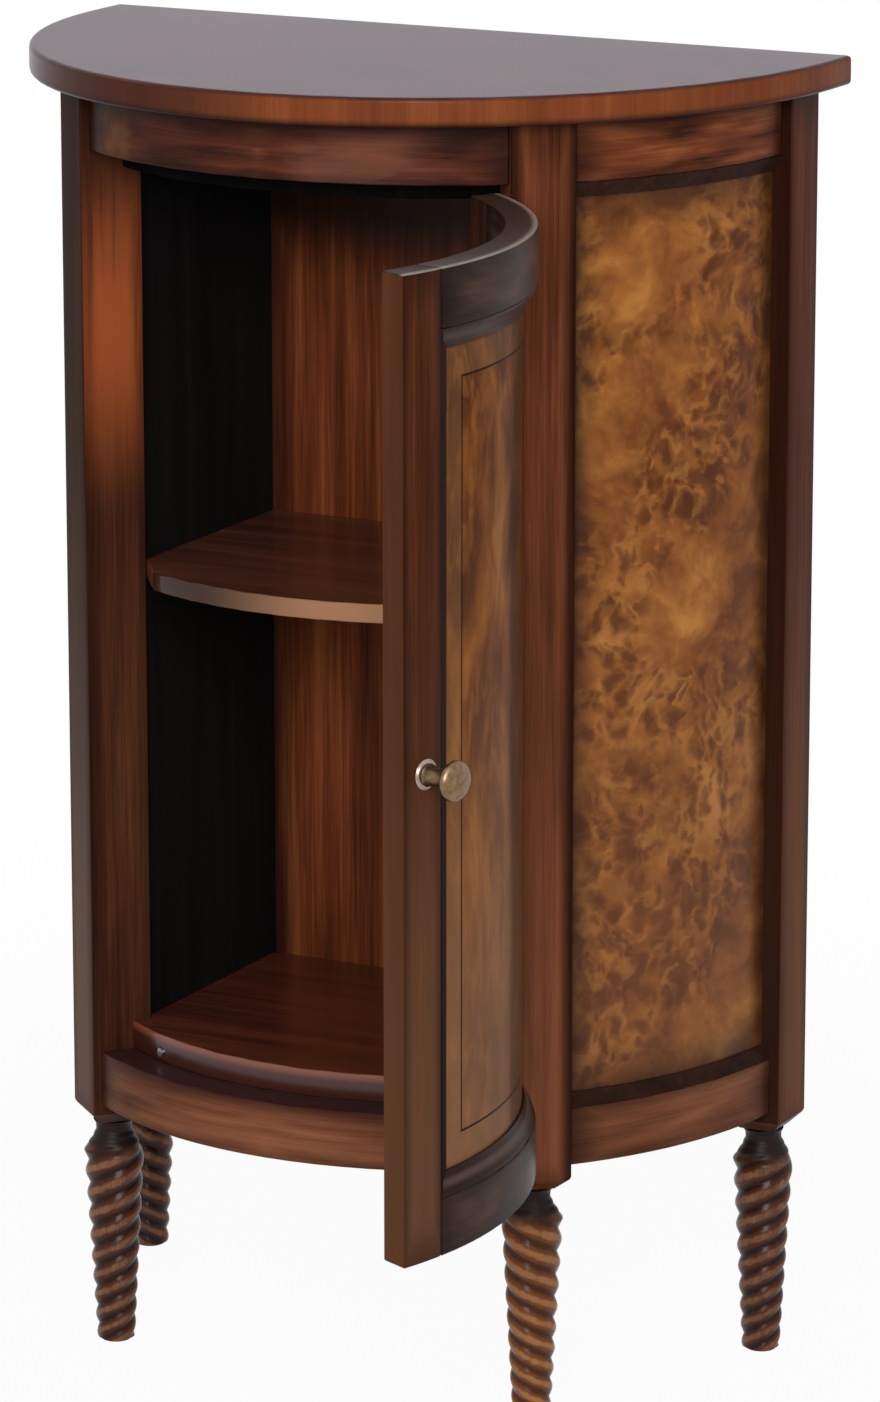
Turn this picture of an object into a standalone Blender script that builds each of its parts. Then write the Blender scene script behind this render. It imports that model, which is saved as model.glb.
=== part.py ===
"""A demilune cabinet: a half-round top on four posts with twisted legs, and one curved door on butt hinges.

Built in metres with +Z up. Plan points are worked out with x = 0 on the centre line, y = 0 at the top's back
edge and the front towards -Y. At the end the whole cabinet is moved so that the middle of its floor box,
open door included, lies on the origin.
"""

import math

import bmesh
import bpy
from mathutils import Matrix, Vector

# Top
TOTAL_HEIGHT = 0.900
TOP_HALF_WIDTH = 0.2828
TOP_STRAIGHT = 0.0297
TOP_BOW = 0.3070
TOP_THICKNESS = 0.0195
TOP_EDGE = 0.003

# Posts
POST_SIDE = 0.043
POST_TURN = math.radians(41.5)
POST_CHAMFER = 0.009
OVERHANG = 0.016
BACK_OVERHANG = 0.0175
LEG_HEIGHT = 0.160

# Rails between the posts
FRONT_BOW_RATIO = 0.16595
FACE_SETBACK = 0.0057
RAIL_THICKNESS = 0.020
FRIEZE_HEIGHT = 0.041
BASE_RAIL_HEIGHT = 0.0392
BASE_RAIL_LIFT = 0.0165

# Side panels and their mouldings
PANEL_SETBACK = 0.0065
PANEL_THICKNESS = 0.008
SIDE_MOULDING_HEIGHT = 0.010

# Back and inside
BACK_PANEL_THICKNESS = 0.006
BACK_RAIL_THICKNESS = 0.020
BACK_FACE_DEPTH = 0.042
WALL_STEP = 0.0048
WALL_THICKNESS = 0.009
CEILING_THICKNESS = 0.018
SILL_STEP = 0.0193
SILL_SEAT = 0.005
STOP_DROP = 0.012
STOP_GAP = 0.0015
SHELF_TOP = 0.558
SHELF_THICKNESS = 0.013
SHELF_CORNER_CUT = 0.037
SHELF_PIN_RADIUS = 0.0025
SHELF_PIN_REACH = 0.009
SHELF_PIN_DEPTH = 0.006
SHELF_PIN_INSET = 0.035

# Door
DOOR_OPEN = math.radians(106.5)
DOOR_THICKNESS = 0.0215
DOOR_GAP = 0.0018
DOOR_CLEARANCE = 0.002
STILE_WIDTH = 0.034
DOOR_RAIL_HEIGHT = 0.037
DOOR_PANEL_RECESS = 0.009
DOOR_PANEL_THICKNESS = 0.007
DOOR_MOULDING_WIDTH = 0.014

# Hinges
HINGE_PROUD = 0.005
HINGE_HEIGHT = 0.060
HINGE_END = 0.075
KNUCKLE_RADIUS = 0.003
KNUCKLE_BORE = 0.0015
KNUCKLE_LENGTH = 0.018
PIN_CLEARANCE = 0.00015
PIN_HEAD = 0.002
LEAF_THICKNESS = 0.0015
LEAF_SINK = 0.0009
LEAF_TAB_MARGIN = 0.001
POST_LEAF_REACH = 0.023
DOOR_LEAF_REACH = 0.027

# Knob and catch
KNOB_HEIGHT = 0.529
KNOB_STILE_INSET = 0.019
KNOB_RADIUS = 0.013
KNOB_LENGTH = 0.027
ROSETTE_RADIUS = 0.009
ROSETTE_THICKNESS = 0.002
KNOB_SCREW_RADIUS = 0.002
KNOB_SCREW_HEAD = 0.0045
KNOB_SCREW_SHARE = 0.5
CATCH_STILE_INSET = 0.0107
CATCH_LIFT = 0.005
CATCH_RADIUS = 0.003
CATCH_LENGTH = 0.012
CATCH_PROUD = 0.0009
STRIKE_RADIUS = 0.0035
STRIKE_THICKNESS = 0.0008

# Legs
LEG_TWIST_TOP = 0.1365
LEG_FOOT_RADIUS = 0.0132
LEG_SHOULDER_RADIUS = 0.0210
LEG_NECK_RADIUS = 0.0125
LEG_COLLAR_RADIUS = 0.0140
LEG_STARTS = 3
LEG_LEAD_AT_FOOT = 0.039
LEG_LEAD_AT_SHOULDER = 0.051
LEG_GROOVE = 0.0042
LEG_STRAND_ROUNDNESS = 0.8
DOWEL_RADIUS = 0.006
DOWEL_LENGTH = 0.020

# Outlines as shares of a piece's own width and height
KNOB_OUTLINE = (
    (0.0, 1.0), (0.55, 0.975), (0.9, 0.89), (1.0, 0.8), (0.92, 0.72),
    (0.51, 0.6), (0.42, 0.4), (0.53, 0.08), (0.53, 0.0), (0.0, 0.0),
)
ROSETTE_OUTLINE = ((0.0, 1.0), (0.8, 1.0), (1.0, 0.5), (1.0, 0.0), (0.0, 0.0))
SCREW_HEAD_TAPER = 0.7
PIN_HEAD_OUTLINE = ((0.0, 1.0), (0.6, 0.8), (0.9, 0.0))
LEG_SHOULDER_OUTLINE = ((0.66, 0.25), (0.26, 0.5), (0.0, 0.68), (0.0, 0.85))
DOOR_MOULDING_OUTLINE = ((0.2, 0.0), (0.55, 0.55), (1.0, 0.78))
SIDE_MOULDING_OUTLINE = ((0.15, 0.0), (0.3, 0.4), (0.75, 1.0))

# Working clearances and softened edges
GAP = 0.0003
BORE_CLEARANCE = 0.0003
EDGE = 0.0012
BORE_OVERRUN = 0.002

# Steps along curves
TOP_STEPS = 48
FRONT_STEPS = 18
SIDE_STEPS = 12
LEG_SIDES_PER_START = 5
LEG_TWIST_STEP = math.radians(30)

# Heights that follow from the sizes above
TOP_UNDERSIDE = TOTAL_HEIGHT - TOP_THICKNESS
FRIEZE_LOW = TOP_UNDERSIDE - FRIEZE_HEIGHT
BASE_RAIL_LOW = LEG_HEIGHT + BASE_RAIL_LIFT
BASE_RAIL_TOP = BASE_RAIL_LOW + BASE_RAIL_HEIGHT
FLOOR_TOP = BASE_RAIL_TOP + SILL_STEP
FLOOR_LOW = BASE_RAIL_TOP + GAP
CEILING_LOW = FRIEZE_LOW - STOP_DROP
DOOR_LOW = BASE_RAIL_TOP + DOOR_CLEARANCE
DOOR_HIGH = FRIEZE_LOW - DOOR_CLEARANCE
CATCH_HEIGHT = DOOR_LOW + CATCH_LIFT

# Depths behind the top's outline
RAIL_INSET = OVERHANG + FACE_SETBACK
PANEL_INSET = RAIL_INSET + PANEL_SETBACK
STOP_INSET = DOOR_THICKNESS + STOP_GAP
BOW_RATIO = TOP_BOW / TOP_HALF_WIDTH
HALF_POST = POST_SIDE / 2

# Name, linear colour, roughness and metallic value of each finish
FINISHES = {
    "mahogany": ((0.105, 0.036, 0.017), 0.34, 0.0),
    "top_veneer": ((0.085, 0.032, 0.022), 0.25, 0.0),
    "burl_veneer": ((0.270, 0.115, 0.030), 0.32, 0.0),
    "carved_leg": ((0.150, 0.055, 0.018), 0.35, 0.0),
    "inside_dark": ((0.012, 0.009, 0.008), 0.60, 0.0),
    "inside_wood": ((0.110, 0.040, 0.018), 0.45, 0.0),
    "knob_metal": ((0.330, 0.290, 0.220), 0.35, 1.0),
    "hinge_brass": ((0.420, 0.270, 0.090), 0.40, 1.0),
    "catch_steel": ((0.550, 0.550, 0.560), 0.25, 1.0),
}


def clear_scene():
    for item in list(bpy.data.objects):
        bpy.data.objects.remove(item)


def new_collection(name):
    collection = bpy.data.collections.new(name)
    bpy.context.scene.collection.children.link(collection)
    return collection


def finish_material(finish):
    """The material of a finish, made the first time it is asked for."""
    if finish in bpy.data.materials:
        return bpy.data.materials[finish]
    colour, roughness, metallic = FINISHES[finish]
    material = bpy.data.materials.new(finish)
    material.use_nodes = True
    shader = material.node_tree.nodes["Principled BSDF"]
    shader.inputs["Base Color"].default_value = (*colour, 1.0)
    shader.inputs["Roughness"].default_value = roughness
    shader.inputs["Metallic"].default_value = metallic
    return material


class Square:
    """A square post in plan: its centre, the way its outer face looks, and the way along that face."""

    def __init__(self, centre, turn):
        self.centre = centre
        self.turn = turn
        self.out = Vector((math.sin(turn), -math.cos(turn)))
        self.along = Vector((math.cos(turn), math.sin(turn)))

    def corner(self, outward, sideways, clearance=0.0):
        reach = HALF_POST + clearance
        return self.centre + self.out * outward * reach + self.along * sideways * reach


def side_curve(inset, turn):
    """A point of the top's outline, or of a like curve inside it; the turn is 0 at the front's middle."""
    radius = TOP_HALF_WIDTH - inset
    return Vector((radius * math.sin(turn), -TOP_STRAIGHT - radius * BOW_RATIO * math.cos(turn)))


FRONT_POST = Square(side_curve(OVERHANG + HALF_POST, POST_TURN), POST_TURN)
BACK_POST = Square(
    Vector((TOP_HALF_WIDTH - OVERHANG - HALF_POST, -BACK_OVERHANG - HALF_POST)), math.radians(90)
)
FACE_END = FRONT_POST.corner(1, -1) - FRONT_POST.out * FACE_SETBACK
FRONT_BOW = TOP_BOW * FRONT_BOW_RATIO
FRONT_RADIUS = (FACE_END.x**2 + FRONT_BOW**2) / (2 * FRONT_BOW)
FRONT_CENTRE_Y = FACE_END.y - FRONT_BOW + FRONT_RADIUS
HINGE = FRONT_POST.corner(1, -1) + FRONT_POST.out * HINGE_PROUD - FRONT_POST.along * DOOR_GAP / 2
INTO_CABINET = POST_TURN + math.radians(90)
INSIDE_HALF_WIDTH = FRONT_POST.corner(-1, -1).x + WALL_STEP


def front_curve(inset, turn):
    """A point of the front's arc, or of an arc inside it."""
    radius = FRONT_RADIUS - inset
    return Vector((radius * math.sin(turn), FRONT_CENTRE_Y - radius * math.cos(turn)))


def turn_where(curve, inset, origin, direction, distance, low, high):
    """The turn at which the curve lies that far from the origin along the direction."""
    for _ in range(40):
        middle = (low + high) / 2
        if (curve(inset, middle) - origin).dot(direction) < distance:
            low = middle
        else:
            high = middle
    return (low + high) / 2


def front_end(inset, gap=GAP):
    """Where the front's arc comes within the gap of the right front post."""
    return turn_where(
        front_curve, inset, FRONT_POST.centre, FRONT_POST.along, -HALF_POST - gap, 0.0, math.radians(60)
    )


def side_start(inset, gap=GAP):
    return turn_where(
        side_curve, inset, FRONT_POST.centre, FRONT_POST.along, HALF_POST + gap,
        POST_TURN / 2, math.radians(88),
    )


def side_end(inset, gap=GAP):
    return turn_where(
        side_curve, inset, BACK_POST.centre, BACK_POST.out.orthogonal(), -HALF_POST - gap,
        POST_TURN, math.radians(90),
    )


def run(curve, inset, start, end, steps):
    return [curve(inset, start + (end - start) * step / steps) for step in range(steps + 1)]


def front_band(outer, inner, start, end, steps=FRONT_STEPS):
    """A curved board of the front; start and end give the turn of each face's ends from its inset."""
    return run(front_curve, outer, start(outer), end(outer), steps) + run(
        front_curve, inner, end(inner), start(inner), steps
    )


def side_band(outer, inner):
    return run(side_curve, outer, side_start(outer), side_end(outer), SIDE_STEPS) + run(
        side_curve, inner, side_end(inner), side_start(inner), SIDE_STEPS
    )


def mirrored(outline):
    return [Vector((-place.x, place.y)) for place in reversed(outline)]


def both_sides():
    return (("left", -1), ("right", 1))


def weld(mesh):
    """Joins the loose caps of a converted curve to its sides and makes each flat face one polygon."""
    shape = bmesh.new()
    shape.from_mesh(mesh)
    bmesh.ops.remove_doubles(shape, verts=shape.verts, dist=1e-6)
    bmesh.ops.dissolve_limit(shape, angle_limit=math.radians(0.5), verts=shape.verts, edges=shape.edges)
    bmesh.ops.recalc_face_normals(shape, faces=shape.faces)
    shape.to_mesh(mesh)
    shape.free()


def outline_mesh(name, outline, thickness):
    """A filled outline in plan, extruded half its thickness up and down."""
    curve = bpy.data.curves.new(name, "CURVE")
    curve.dimensions = "2D"
    curve.fill_mode = "BOTH"
    curve.extrude = thickness / 2
    spline = curve.splines.new("POLY")
    spline.points.add(len(outline) - 1)
    for point, place in zip(spline.points, outline):
        point.co = (place.x, place.y, 0.0, 1.0)
    spline.use_cyclic_u = True
    guide = bpy.data.objects.new(name, curve)
    bpy.context.scene.collection.objects.link(guide)
    graph = bpy.context.evaluated_depsgraph_get()
    mesh = bpy.data.meshes.new_from_object(guide.evaluated_get(graph))
    bpy.data.objects.remove(guide)
    bpy.data.curves.remove(curve)
    mesh.name = name
    weld(mesh)
    return mesh


def box_mesh(name, size, chamfer=0.0):
    """A box about its own middle; the chamfer runs round its bottom face."""
    shape = bmesh.new()
    bmesh.ops.create_cube(shape, size=1.0, matrix=Matrix.Diagonal((*size, 1.0)))
    if chamfer:
        bottom = [edge for edge in shape.edges if all(vert.co.z < 0 for vert in edge.verts)]
        bmesh.ops.bevel(shape, geom=bottom, offset=chamfer, segments=1, profile=0.5, affect="EDGES")
    mesh = bpy.data.meshes.new(name)
    shape.to_mesh(mesh)
    shape.free()
    return mesh


def loft_mesh(name, rings):
    """A skin over rings of as many points each, closed by a face at both ends."""
    shape = bmesh.new()
    made = [[shape.verts.new(point) for point in ring] for ring in rings]
    for lower, upper in zip(made, made[1:]):
        for index in range(len(lower)):
            after = (index + 1) % len(lower)
            shape.faces.new((lower[index], lower[after], upper[after], upper[index]))
    shape.faces.new(reversed(made[0]))
    shape.faces.new(made[-1])
    bmesh.ops.recalc_face_normals(shape, faces=shape.faces)
    mesh = bpy.data.meshes.new(name)
    shape.to_mesh(mesh)
    shape.free()
    return mesh


def profile_mesh(name, loops, closed):
    """Points (radius, height) joined into lines, for a Screw modifier to turn about Z."""
    shape = bmesh.new()
    for loop in loops:
        verts = [shape.verts.new((radius, 0.0, height)) for radius, height in loop]
        for first, second in zip(verts, verts[1:]):
            shape.edges.new((first, second))
        if closed:
            shape.edges.new((verts[-1], verts[0]))
    mesh = bpy.data.meshes.new(name)
    shape.to_mesh(mesh)
    shape.free()
    return mesh


class Holder:
    """An empty that carries pieces: the cabinet itself, or the door about its hinge axis."""

    def __init__(self, name, place, turn, parent=None):
        self.empty = bpy.data.objects.new(name, None)
        bpy.context.scene.collection.objects.link(self.empty)
        self.empty.location = (*place, 0.0)
        self.empty.rotation_euler.z = turn
        self.empty.parent = parent
        self.inverse = Matrix.Translation((-place[0], -place[1], 0.0))

    def carry(self, piece):
        piece.parent = self.empty
        piece.matrix_parent_inverse = self.inverse


def soften(piece, width):
    bevel = piece.modifiers.new("softened edges", "BEVEL")
    bevel.width = width
    bevel.segments = 3 if width > EDGE else 1
    bevel.limit_method = "ANGLE"
    bevel.angle_limit = math.radians(32)


def spin(piece, sides):
    screw = piece.modifiers.new("turning", "SCREW")
    screw.steps = sides
    screw.render_steps = sides
    screw.use_merge_vertices = True
    screw.merge_threshold = 0.00001


def boolean(piece, other, operation):
    modifier = piece.modifiers.new(operation.lower(), "BOOLEAN")
    modifier.operation = operation
    modifier.solver = "EXACT"
    modifier.object = other


def add_piece(name, mesh, finish, holder, place=(0.0, 0.0, 0.0), turn=0.0, edge=0.0):
    """Puts a mesh in the cabinet, at its place with the door closed."""
    piece = bpy.data.objects.new(name, mesh)
    parts.objects.link(piece)
    mesh.materials.append(finish_material(finish))
    mesh.shade_smooth()
    mesh.set_sharp_from_angle(angle=math.radians(32))
    piece.location = place
    piece.rotation_euler.z = turn
    holder.carry(piece)
    if edge:
        soften(piece, edge)
    return piece


def add_helper(name, mesh, holder, matrix):
    """A mesh that only cuts or joins another, kept out of the render."""
    helper = bpy.data.objects.new(name, mesh)
    helpers.objects.link(helper)
    helper.hide_render = True
    helper.display_type = "WIRE"
    helper.matrix_world = matrix
    holder.carry(helper)
    return helper


def board(name, outline, low, high, finish, holder, edge=EDGE):
    mesh = outline_mesh(name, outline, high - low)
    return add_piece(name, mesh, finish, holder, (0.0, 0.0, (low + high) / 2), 0.0, edge)


def aim(place, direction):
    """A matrix that puts an object's own Z along the direction."""
    return Matrix.Translation(place) @ direction.to_track_quat("Z", "Y").to_matrix().to_4x4()


def rod_mesh(name, radius, length, sides=16):
    """A cylinder that starts at its own origin and runs up its own Z."""
    shape = bmesh.new()
    bmesh.ops.create_cone(
        shape, cap_ends=True, segments=sides, radius1=radius, radius2=radius, depth=length,
        matrix=Matrix.Translation((0.0, 0.0, length / 2)),
    )
    mesh = bpy.data.meshes.new(name)
    shape.to_mesh(mesh)
    shape.free()
    return mesh


def rod(name, radius, length, place, direction, finish, holder):
    piece = add_piece(name, rod_mesh(name, radius, length), finish, holder)
    piece.matrix_basis = aim(place, direction)
    return piece


def bore(piece, radius, length, place, direction, holder):
    """Cuts a round hole that starts a little outside the place and ends that length behind it."""
    start = Vector(place) - direction * BORE_OVERRUN
    mesh = rod_mesh(piece.name + "_bore", radius, length + BORE_OVERRUN)
    boolean(piece, add_helper(piece.name + "_bore", mesh, holder, aim(start, direction)), "DIFFERENCE")


def turned(name, profile, place, direction, finish, holder, sides=24):
    """A turned piece; its profile runs down its outer side from the axis at the top."""
    piece = add_piece(name, profile_mesh(name, [profile], False), finish, holder)
    piece.matrix_basis = aim(place, direction)
    spin(piece, sides)
    return piece


def top_outline():
    curve = run(side_curve, 0.0, math.radians(-90), math.radians(90), TOP_STEPS)
    return curve + [Vector((TOP_HALF_WIDTH, 0.0)), Vector((-TOP_HALF_WIDTH, 0.0))]


def build_top():
    board("top_board", top_outline(), TOP_UNDERSIDE, TOTAL_HEIGHT, "top_veneer", cabinet, TOP_EDGE)


def leg_radius(height, angle):
    """The carved leg's radius: a taper, cut by spiral grooves between rounded strands."""
    taper = LEG_FOOT_RADIUS + (LEG_SHOULDER_RADIUS - LEG_FOOT_RADIUS) * height / LEG_TWIST_TOP
    strand = abs(math.sin(angle * LEG_STARTS / 2)) ** LEG_STRAND_ROUNDNESS
    return taper - LEG_GROOVE * taper / LEG_SHOULDER_RADIUS * (1.0 - strand)


def leg_twist(height):
    """How far the strands have turned at a height; their lead grows evenly from the foot to the shoulder."""
    growth = (LEG_LEAD_AT_SHOULDER - LEG_LEAD_AT_FOOT) / LEG_TWIST_TOP
    return math.tau / growth * math.log(1.0 + growth * height / LEG_LEAD_AT_FOOT)


def leg_mesh(name, hand):
    sides = LEG_STARTS * LEG_SIDES_PER_START
    steps = round(leg_twist(LEG_TWIST_TOP) / LEG_TWIST_STEP)
    rings = []
    for step in range(steps + 1):
        height = LEG_TWIST_TOP * step / steps
        twist = hand * leg_twist(height)
        angles = [math.tau * side / sides for side in range(sides)]
        rings.append([polar(leg_radius(height, angle), angle + twist, height) for angle in angles])
    last_twist = hand * leg_twist(LEG_TWIST_TOP)
    neck_room = LEG_HEIGHT - LEG_TWIST_TOP
    swell = LEG_SHOULDER_RADIUS - LEG_NECK_RADIUS
    plain = [
        (LEG_TWIST_TOP + rise * neck_room, LEG_NECK_RADIUS + width * swell)
        for width, rise in LEG_SHOULDER_OUTLINE
    ]
    plain += [
        (LEG_HEIGHT - GAP, LEG_COLLAR_RADIUS),
        (LEG_HEIGHT - GAP, DOWEL_RADIUS),
        (LEG_HEIGHT + DOWEL_LENGTH, DOWEL_RADIUS),
    ]
    for height, radius in plain:
        rings.append([polar(radius, math.tau * side / sides + last_twist, height) for side in range(sides)])
    return loft_mesh(name, rings)


def polar(radius, angle, height):
    return Vector((radius * math.cos(angle), radius * math.sin(angle), height))


def build_posts_and_legs():
    for side_name, side in both_sides():
        for row_name, post in (("front", FRONT_POST), ("back", BACK_POST)):
            place = Vector((post.centre.x * side, post.centre.y, 0.0))
            post_height = TOP_UNDERSIDE - GAP - LEG_HEIGHT
            name = f"post_{row_name}_{side_name}"
            mesh = box_mesh(name, (POST_SIDE, POST_SIDE, post_height), POST_CHAMFER)
            middle = place + Vector((0.0, 0.0, LEG_HEIGHT + post_height / 2))
            piece = add_piece(name, mesh, "mahogany", cabinet, middle, post.turn * side, EDGE)
            foot = place + Vector((0.0, 0.0, LEG_HEIGHT))
            bore(piece, DOWEL_RADIUS + BORE_CLEARANCE, DOWEL_LENGTH + GAP, foot, Vector((0, 0, 1)), cabinet)
            hand = -side if row_name == "front" else side
            leg_name = f"leg_{row_name}_{side_name}"
            add_piece(leg_name, leg_mesh(leg_name, hand), "carved_leg", cabinet, place)


def build_rails():
    def ends(inset):
        return front_end(inset)

    def starts(inset):
        return -front_end(inset)

    for name, low, high, front_depth in (
        ("frieze_rail", FRIEZE_LOW, TOP_UNDERSIDE - GAP, RAIL_THICKNESS),
        ("base_rail", BASE_RAIL_LOW, BASE_RAIL_TOP, STOP_INSET + SILL_SEAT),
    ):
        board(f"{name}_front", front_band(0.0, front_depth, starts, ends), low, high, "mahogany", cabinet)
        outline = side_band(RAIL_INSET, RAIL_INSET + RAIL_THICKNESS)
        board(f"{name}_right", outline, low, high, "mahogany", cabinet)
        board(f"{name}_left", mirrored(outline), low, high, "mahogany", cabinet)


def side_moulding_mesh(name, section, side):
    """A moulding along the side's curve; its section is a list of (inset, height)."""
    rings = []
    for step in range(SIDE_STEPS + 1):
        ring = []
        for inset, height in section:
            start = side_start(inset)
            place = side_curve(inset, start + (side_end(inset) - start) * step / SIDE_STEPS)
            ring.append(Vector((place.x * side, place.y, height)))
        rings.append(ring)
    return loft_mesh(name, rings)


def build_side_panels():
    outline = side_band(PANEL_INSET, PANEL_INSET + PANEL_THICKNESS)
    low, high = BASE_RAIL_TOP + GAP, FRIEZE_LOW - GAP
    back = PANEL_INSET - GAP
    for side_name, side in both_sides():
        plan = outline if side > 0 else mirrored(outline)
        board(f"side_panel_{side_name}", plan, low, high, "burl_veneer", cabinet, 0.0)
        for name, edge_height, inward in (("bottom", low, 1), ("top", high, -1)):
            section = [
                (RAIL_INSET + PANEL_SETBACK * depth, edge_height + inward * SIDE_MOULDING_HEIGHT * rise)
                for depth, rise in SIDE_MOULDING_OUTLINE
            ]
            section += [(back, edge_height + inward * SIDE_MOULDING_HEIGHT), (back, edge_height)]
            piece_name = f"side_moulding_{name}_{side_name}"
            add_piece(piece_name, side_moulding_mesh(piece_name, section, side), "mahogany", cabinet)


def full_plan(side_inset):
    """The right half of a board that fills the whole plan, from the front's middle to the back's middle."""
    half = run(front_curve, STOP_INSET, 0.0, front_end(STOP_INSET), FRONT_STEPS // 2)
    half.append(FRONT_POST.corner(-1, -1, GAP))
    half.append(FRONT_POST.corner(-1, 1, GAP))
    half += run(side_curve, side_inset, side_start(side_inset), side_end(side_inset), SIDE_STEPS)
    back_post_inner = BACK_POST.centre.x - HALF_POST - GAP
    half.append(Vector((back_post_inner, BACK_POST.centre.y - HALF_POST - GAP)))
    half.append(Vector((back_post_inner, -BACK_FACE_DEPTH - GAP)))
    return half


def shelf_plan():
    """The right half of a board between the two inner walls, its front corner cut back to the post."""
    edge = INSIDE_HALF_WIDTH - GAP
    front_turn = front_end(STOP_INSET) - SHELF_CORNER_CUT / (FRONT_RADIUS - STOP_INSET)
    half = run(front_curve, STOP_INSET, 0.0, front_turn, FRONT_STEPS // 2)
    corner = FRONT_POST.corner(-1, -1, GAP)
    half.append(corner)
    reach = (edge - corner.x) / FRONT_POST.along.x
    half.append(corner + FRONT_POST.along * reach)
    half.append(Vector((edge, -BACK_FACE_DEPTH - GAP)))
    return half


def whole(half):
    return mirrored(half[1:]) + half


def wall_plan():
    """The right inner wall, from the front post's slanted back face to the back panel."""
    near, far = INSIDE_HALF_WIDTH, INSIDE_HALF_WIDTH + WALL_THICKNESS
    corner = FRONT_POST.corner(-1, -1, GAP)
    slope = FRONT_POST.along.y / FRONT_POST.along.x
    return [
        Vector((near, corner.y + (near - corner.x) * slope)),
        Vector((far, corner.y + (far - corner.x) * slope)),
        Vector((far, -BACK_FACE_DEPTH - GAP)),
        Vector((near, -BACK_FACE_DEPTH - GAP)),
    ]


def build_back():
    width = 2 * (BACK_POST.centre.x - HALF_POST - GAP)
    for name, low, high, thickness, finish in (
        ("back_rail_top", FRIEZE_LOW, TOP_UNDERSIDE - GAP, BACK_RAIL_THICKNESS, "mahogany"),
        ("back_rail_bottom", BASE_RAIL_LOW, BASE_RAIL_TOP, BACK_RAIL_THICKNESS, "mahogany"),
        ("back_panel", BASE_RAIL_TOP + GAP, FRIEZE_LOW - GAP, BACK_PANEL_THICKNESS, "inside_wood"),
    ):
        mesh = box_mesh(name, (width, thickness, high - low))
        place = (0.0, -BACK_FACE_DEPTH + thickness / 2, (low + high) / 2)
        add_piece(name, mesh, finish, cabinet, place, 0.0, EDGE)


def build_inside():
    floor_plan = whole(full_plan(PANEL_INSET + PANEL_THICKNESS + GAP))
    floor = board("floor_board", floor_plan, FLOOR_LOW, FLOOR_TOP, "inside_wood", cabinet)
    ceiling_plan = whole(full_plan(RAIL_INSET + RAIL_THICKNESS + GAP))
    ceiling_top = CEILING_LOW + CEILING_THICKNESS
    board("upper_board", ceiling_plan, CEILING_LOW, ceiling_top, "inside_dark", cabinet)
    shelf_low = SHELF_TOP - SHELF_THICKNESS
    board("shelf", whole(shelf_plan()), shelf_low, SHELF_TOP, "inside_wood", cabinet)
    pin_height = shelf_low - GAP - SHELF_PIN_RADIUS
    pin_rows = (
        ("front", FRONT_POST.corner(-1, -1).y + SHELF_PIN_INSET),
        ("back", -BACK_FACE_DEPTH - SHELF_PIN_INSET),
    )
    for side_name, side in both_sides():
        plan = wall_plan() if side > 0 else mirrored(wall_plan())
        wall = board(
            f"inner_wall_{side_name}", plan, FLOOR_TOP + GAP, CEILING_LOW - GAP, "inside_dark", cabinet, 0.0
        )
        outward = Vector((side, 0.0, 0.0))
        for row_name, y in pin_rows:
            mouth = Vector((INSIDE_HALF_WIDTH * side, y, pin_height))
            bore(wall, SHELF_PIN_RADIUS + BORE_CLEARANCE, SHELF_PIN_DEPTH + GAP, mouth, outward, cabinet)
            start = mouth - outward * SHELF_PIN_REACH
            length = SHELF_PIN_REACH + SHELF_PIN_DEPTH
            name = f"shelf_pin_{row_name}_{side_name}"
            rod(name, SHELF_PIN_RADIUS, length, start, outward, "catch_steel", cabinet)
    build_magnet(floor)


def at_front(inset, turn, height):
    place = front_curve(inset, turn)
    return Vector((place.x, place.y, height))


def outward_at(turn):
    return Vector((math.sin(turn), -math.cos(turn), 0.0))


def stile_inner_turn():
    return front_end(0.0, DOOR_GAP) - STILE_WIDTH / FRONT_RADIUS


def catch_turn():
    """The catch stands a little inside the lock stile."""
    return CATCH_STILE_INSET / FRONT_RADIUS - stile_inner_turn()


def build_magnet(floor):
    """A round magnet let into the floor's front edge, where it meets the closed door."""
    inward = -outward_at(catch_turn())
    mouth = at_front(STOP_INSET, catch_turn(), CATCH_HEIGHT)
    sunk = CATCH_LENGTH - CATCH_PROUD
    bore(floor, CATCH_RADIUS + BORE_CLEARANCE, sunk + GAP, mouth, inward, cabinet)
    front = mouth - inward * CATCH_PROUD
    rod("catch_magnet", CATCH_RADIUS, CATCH_LENGTH, front, inward, "catch_steel", cabinet)


def moulding_section():
    """The slope from the frame's face down to the panel, as (distance from the frame, depth)."""
    back = DOOR_PANEL_RECESS - GAP
    slope = [
        (DOOR_MOULDING_WIDTH * across, EDGE + (DOOR_PANEL_RECESS - EDGE) * fall)
        for across, fall in DOOR_MOULDING_OUTLINE
    ]
    return [(GAP, EDGE), *slope, (DOOR_MOULDING_WIDTH, back), (GAP, back)]


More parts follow.
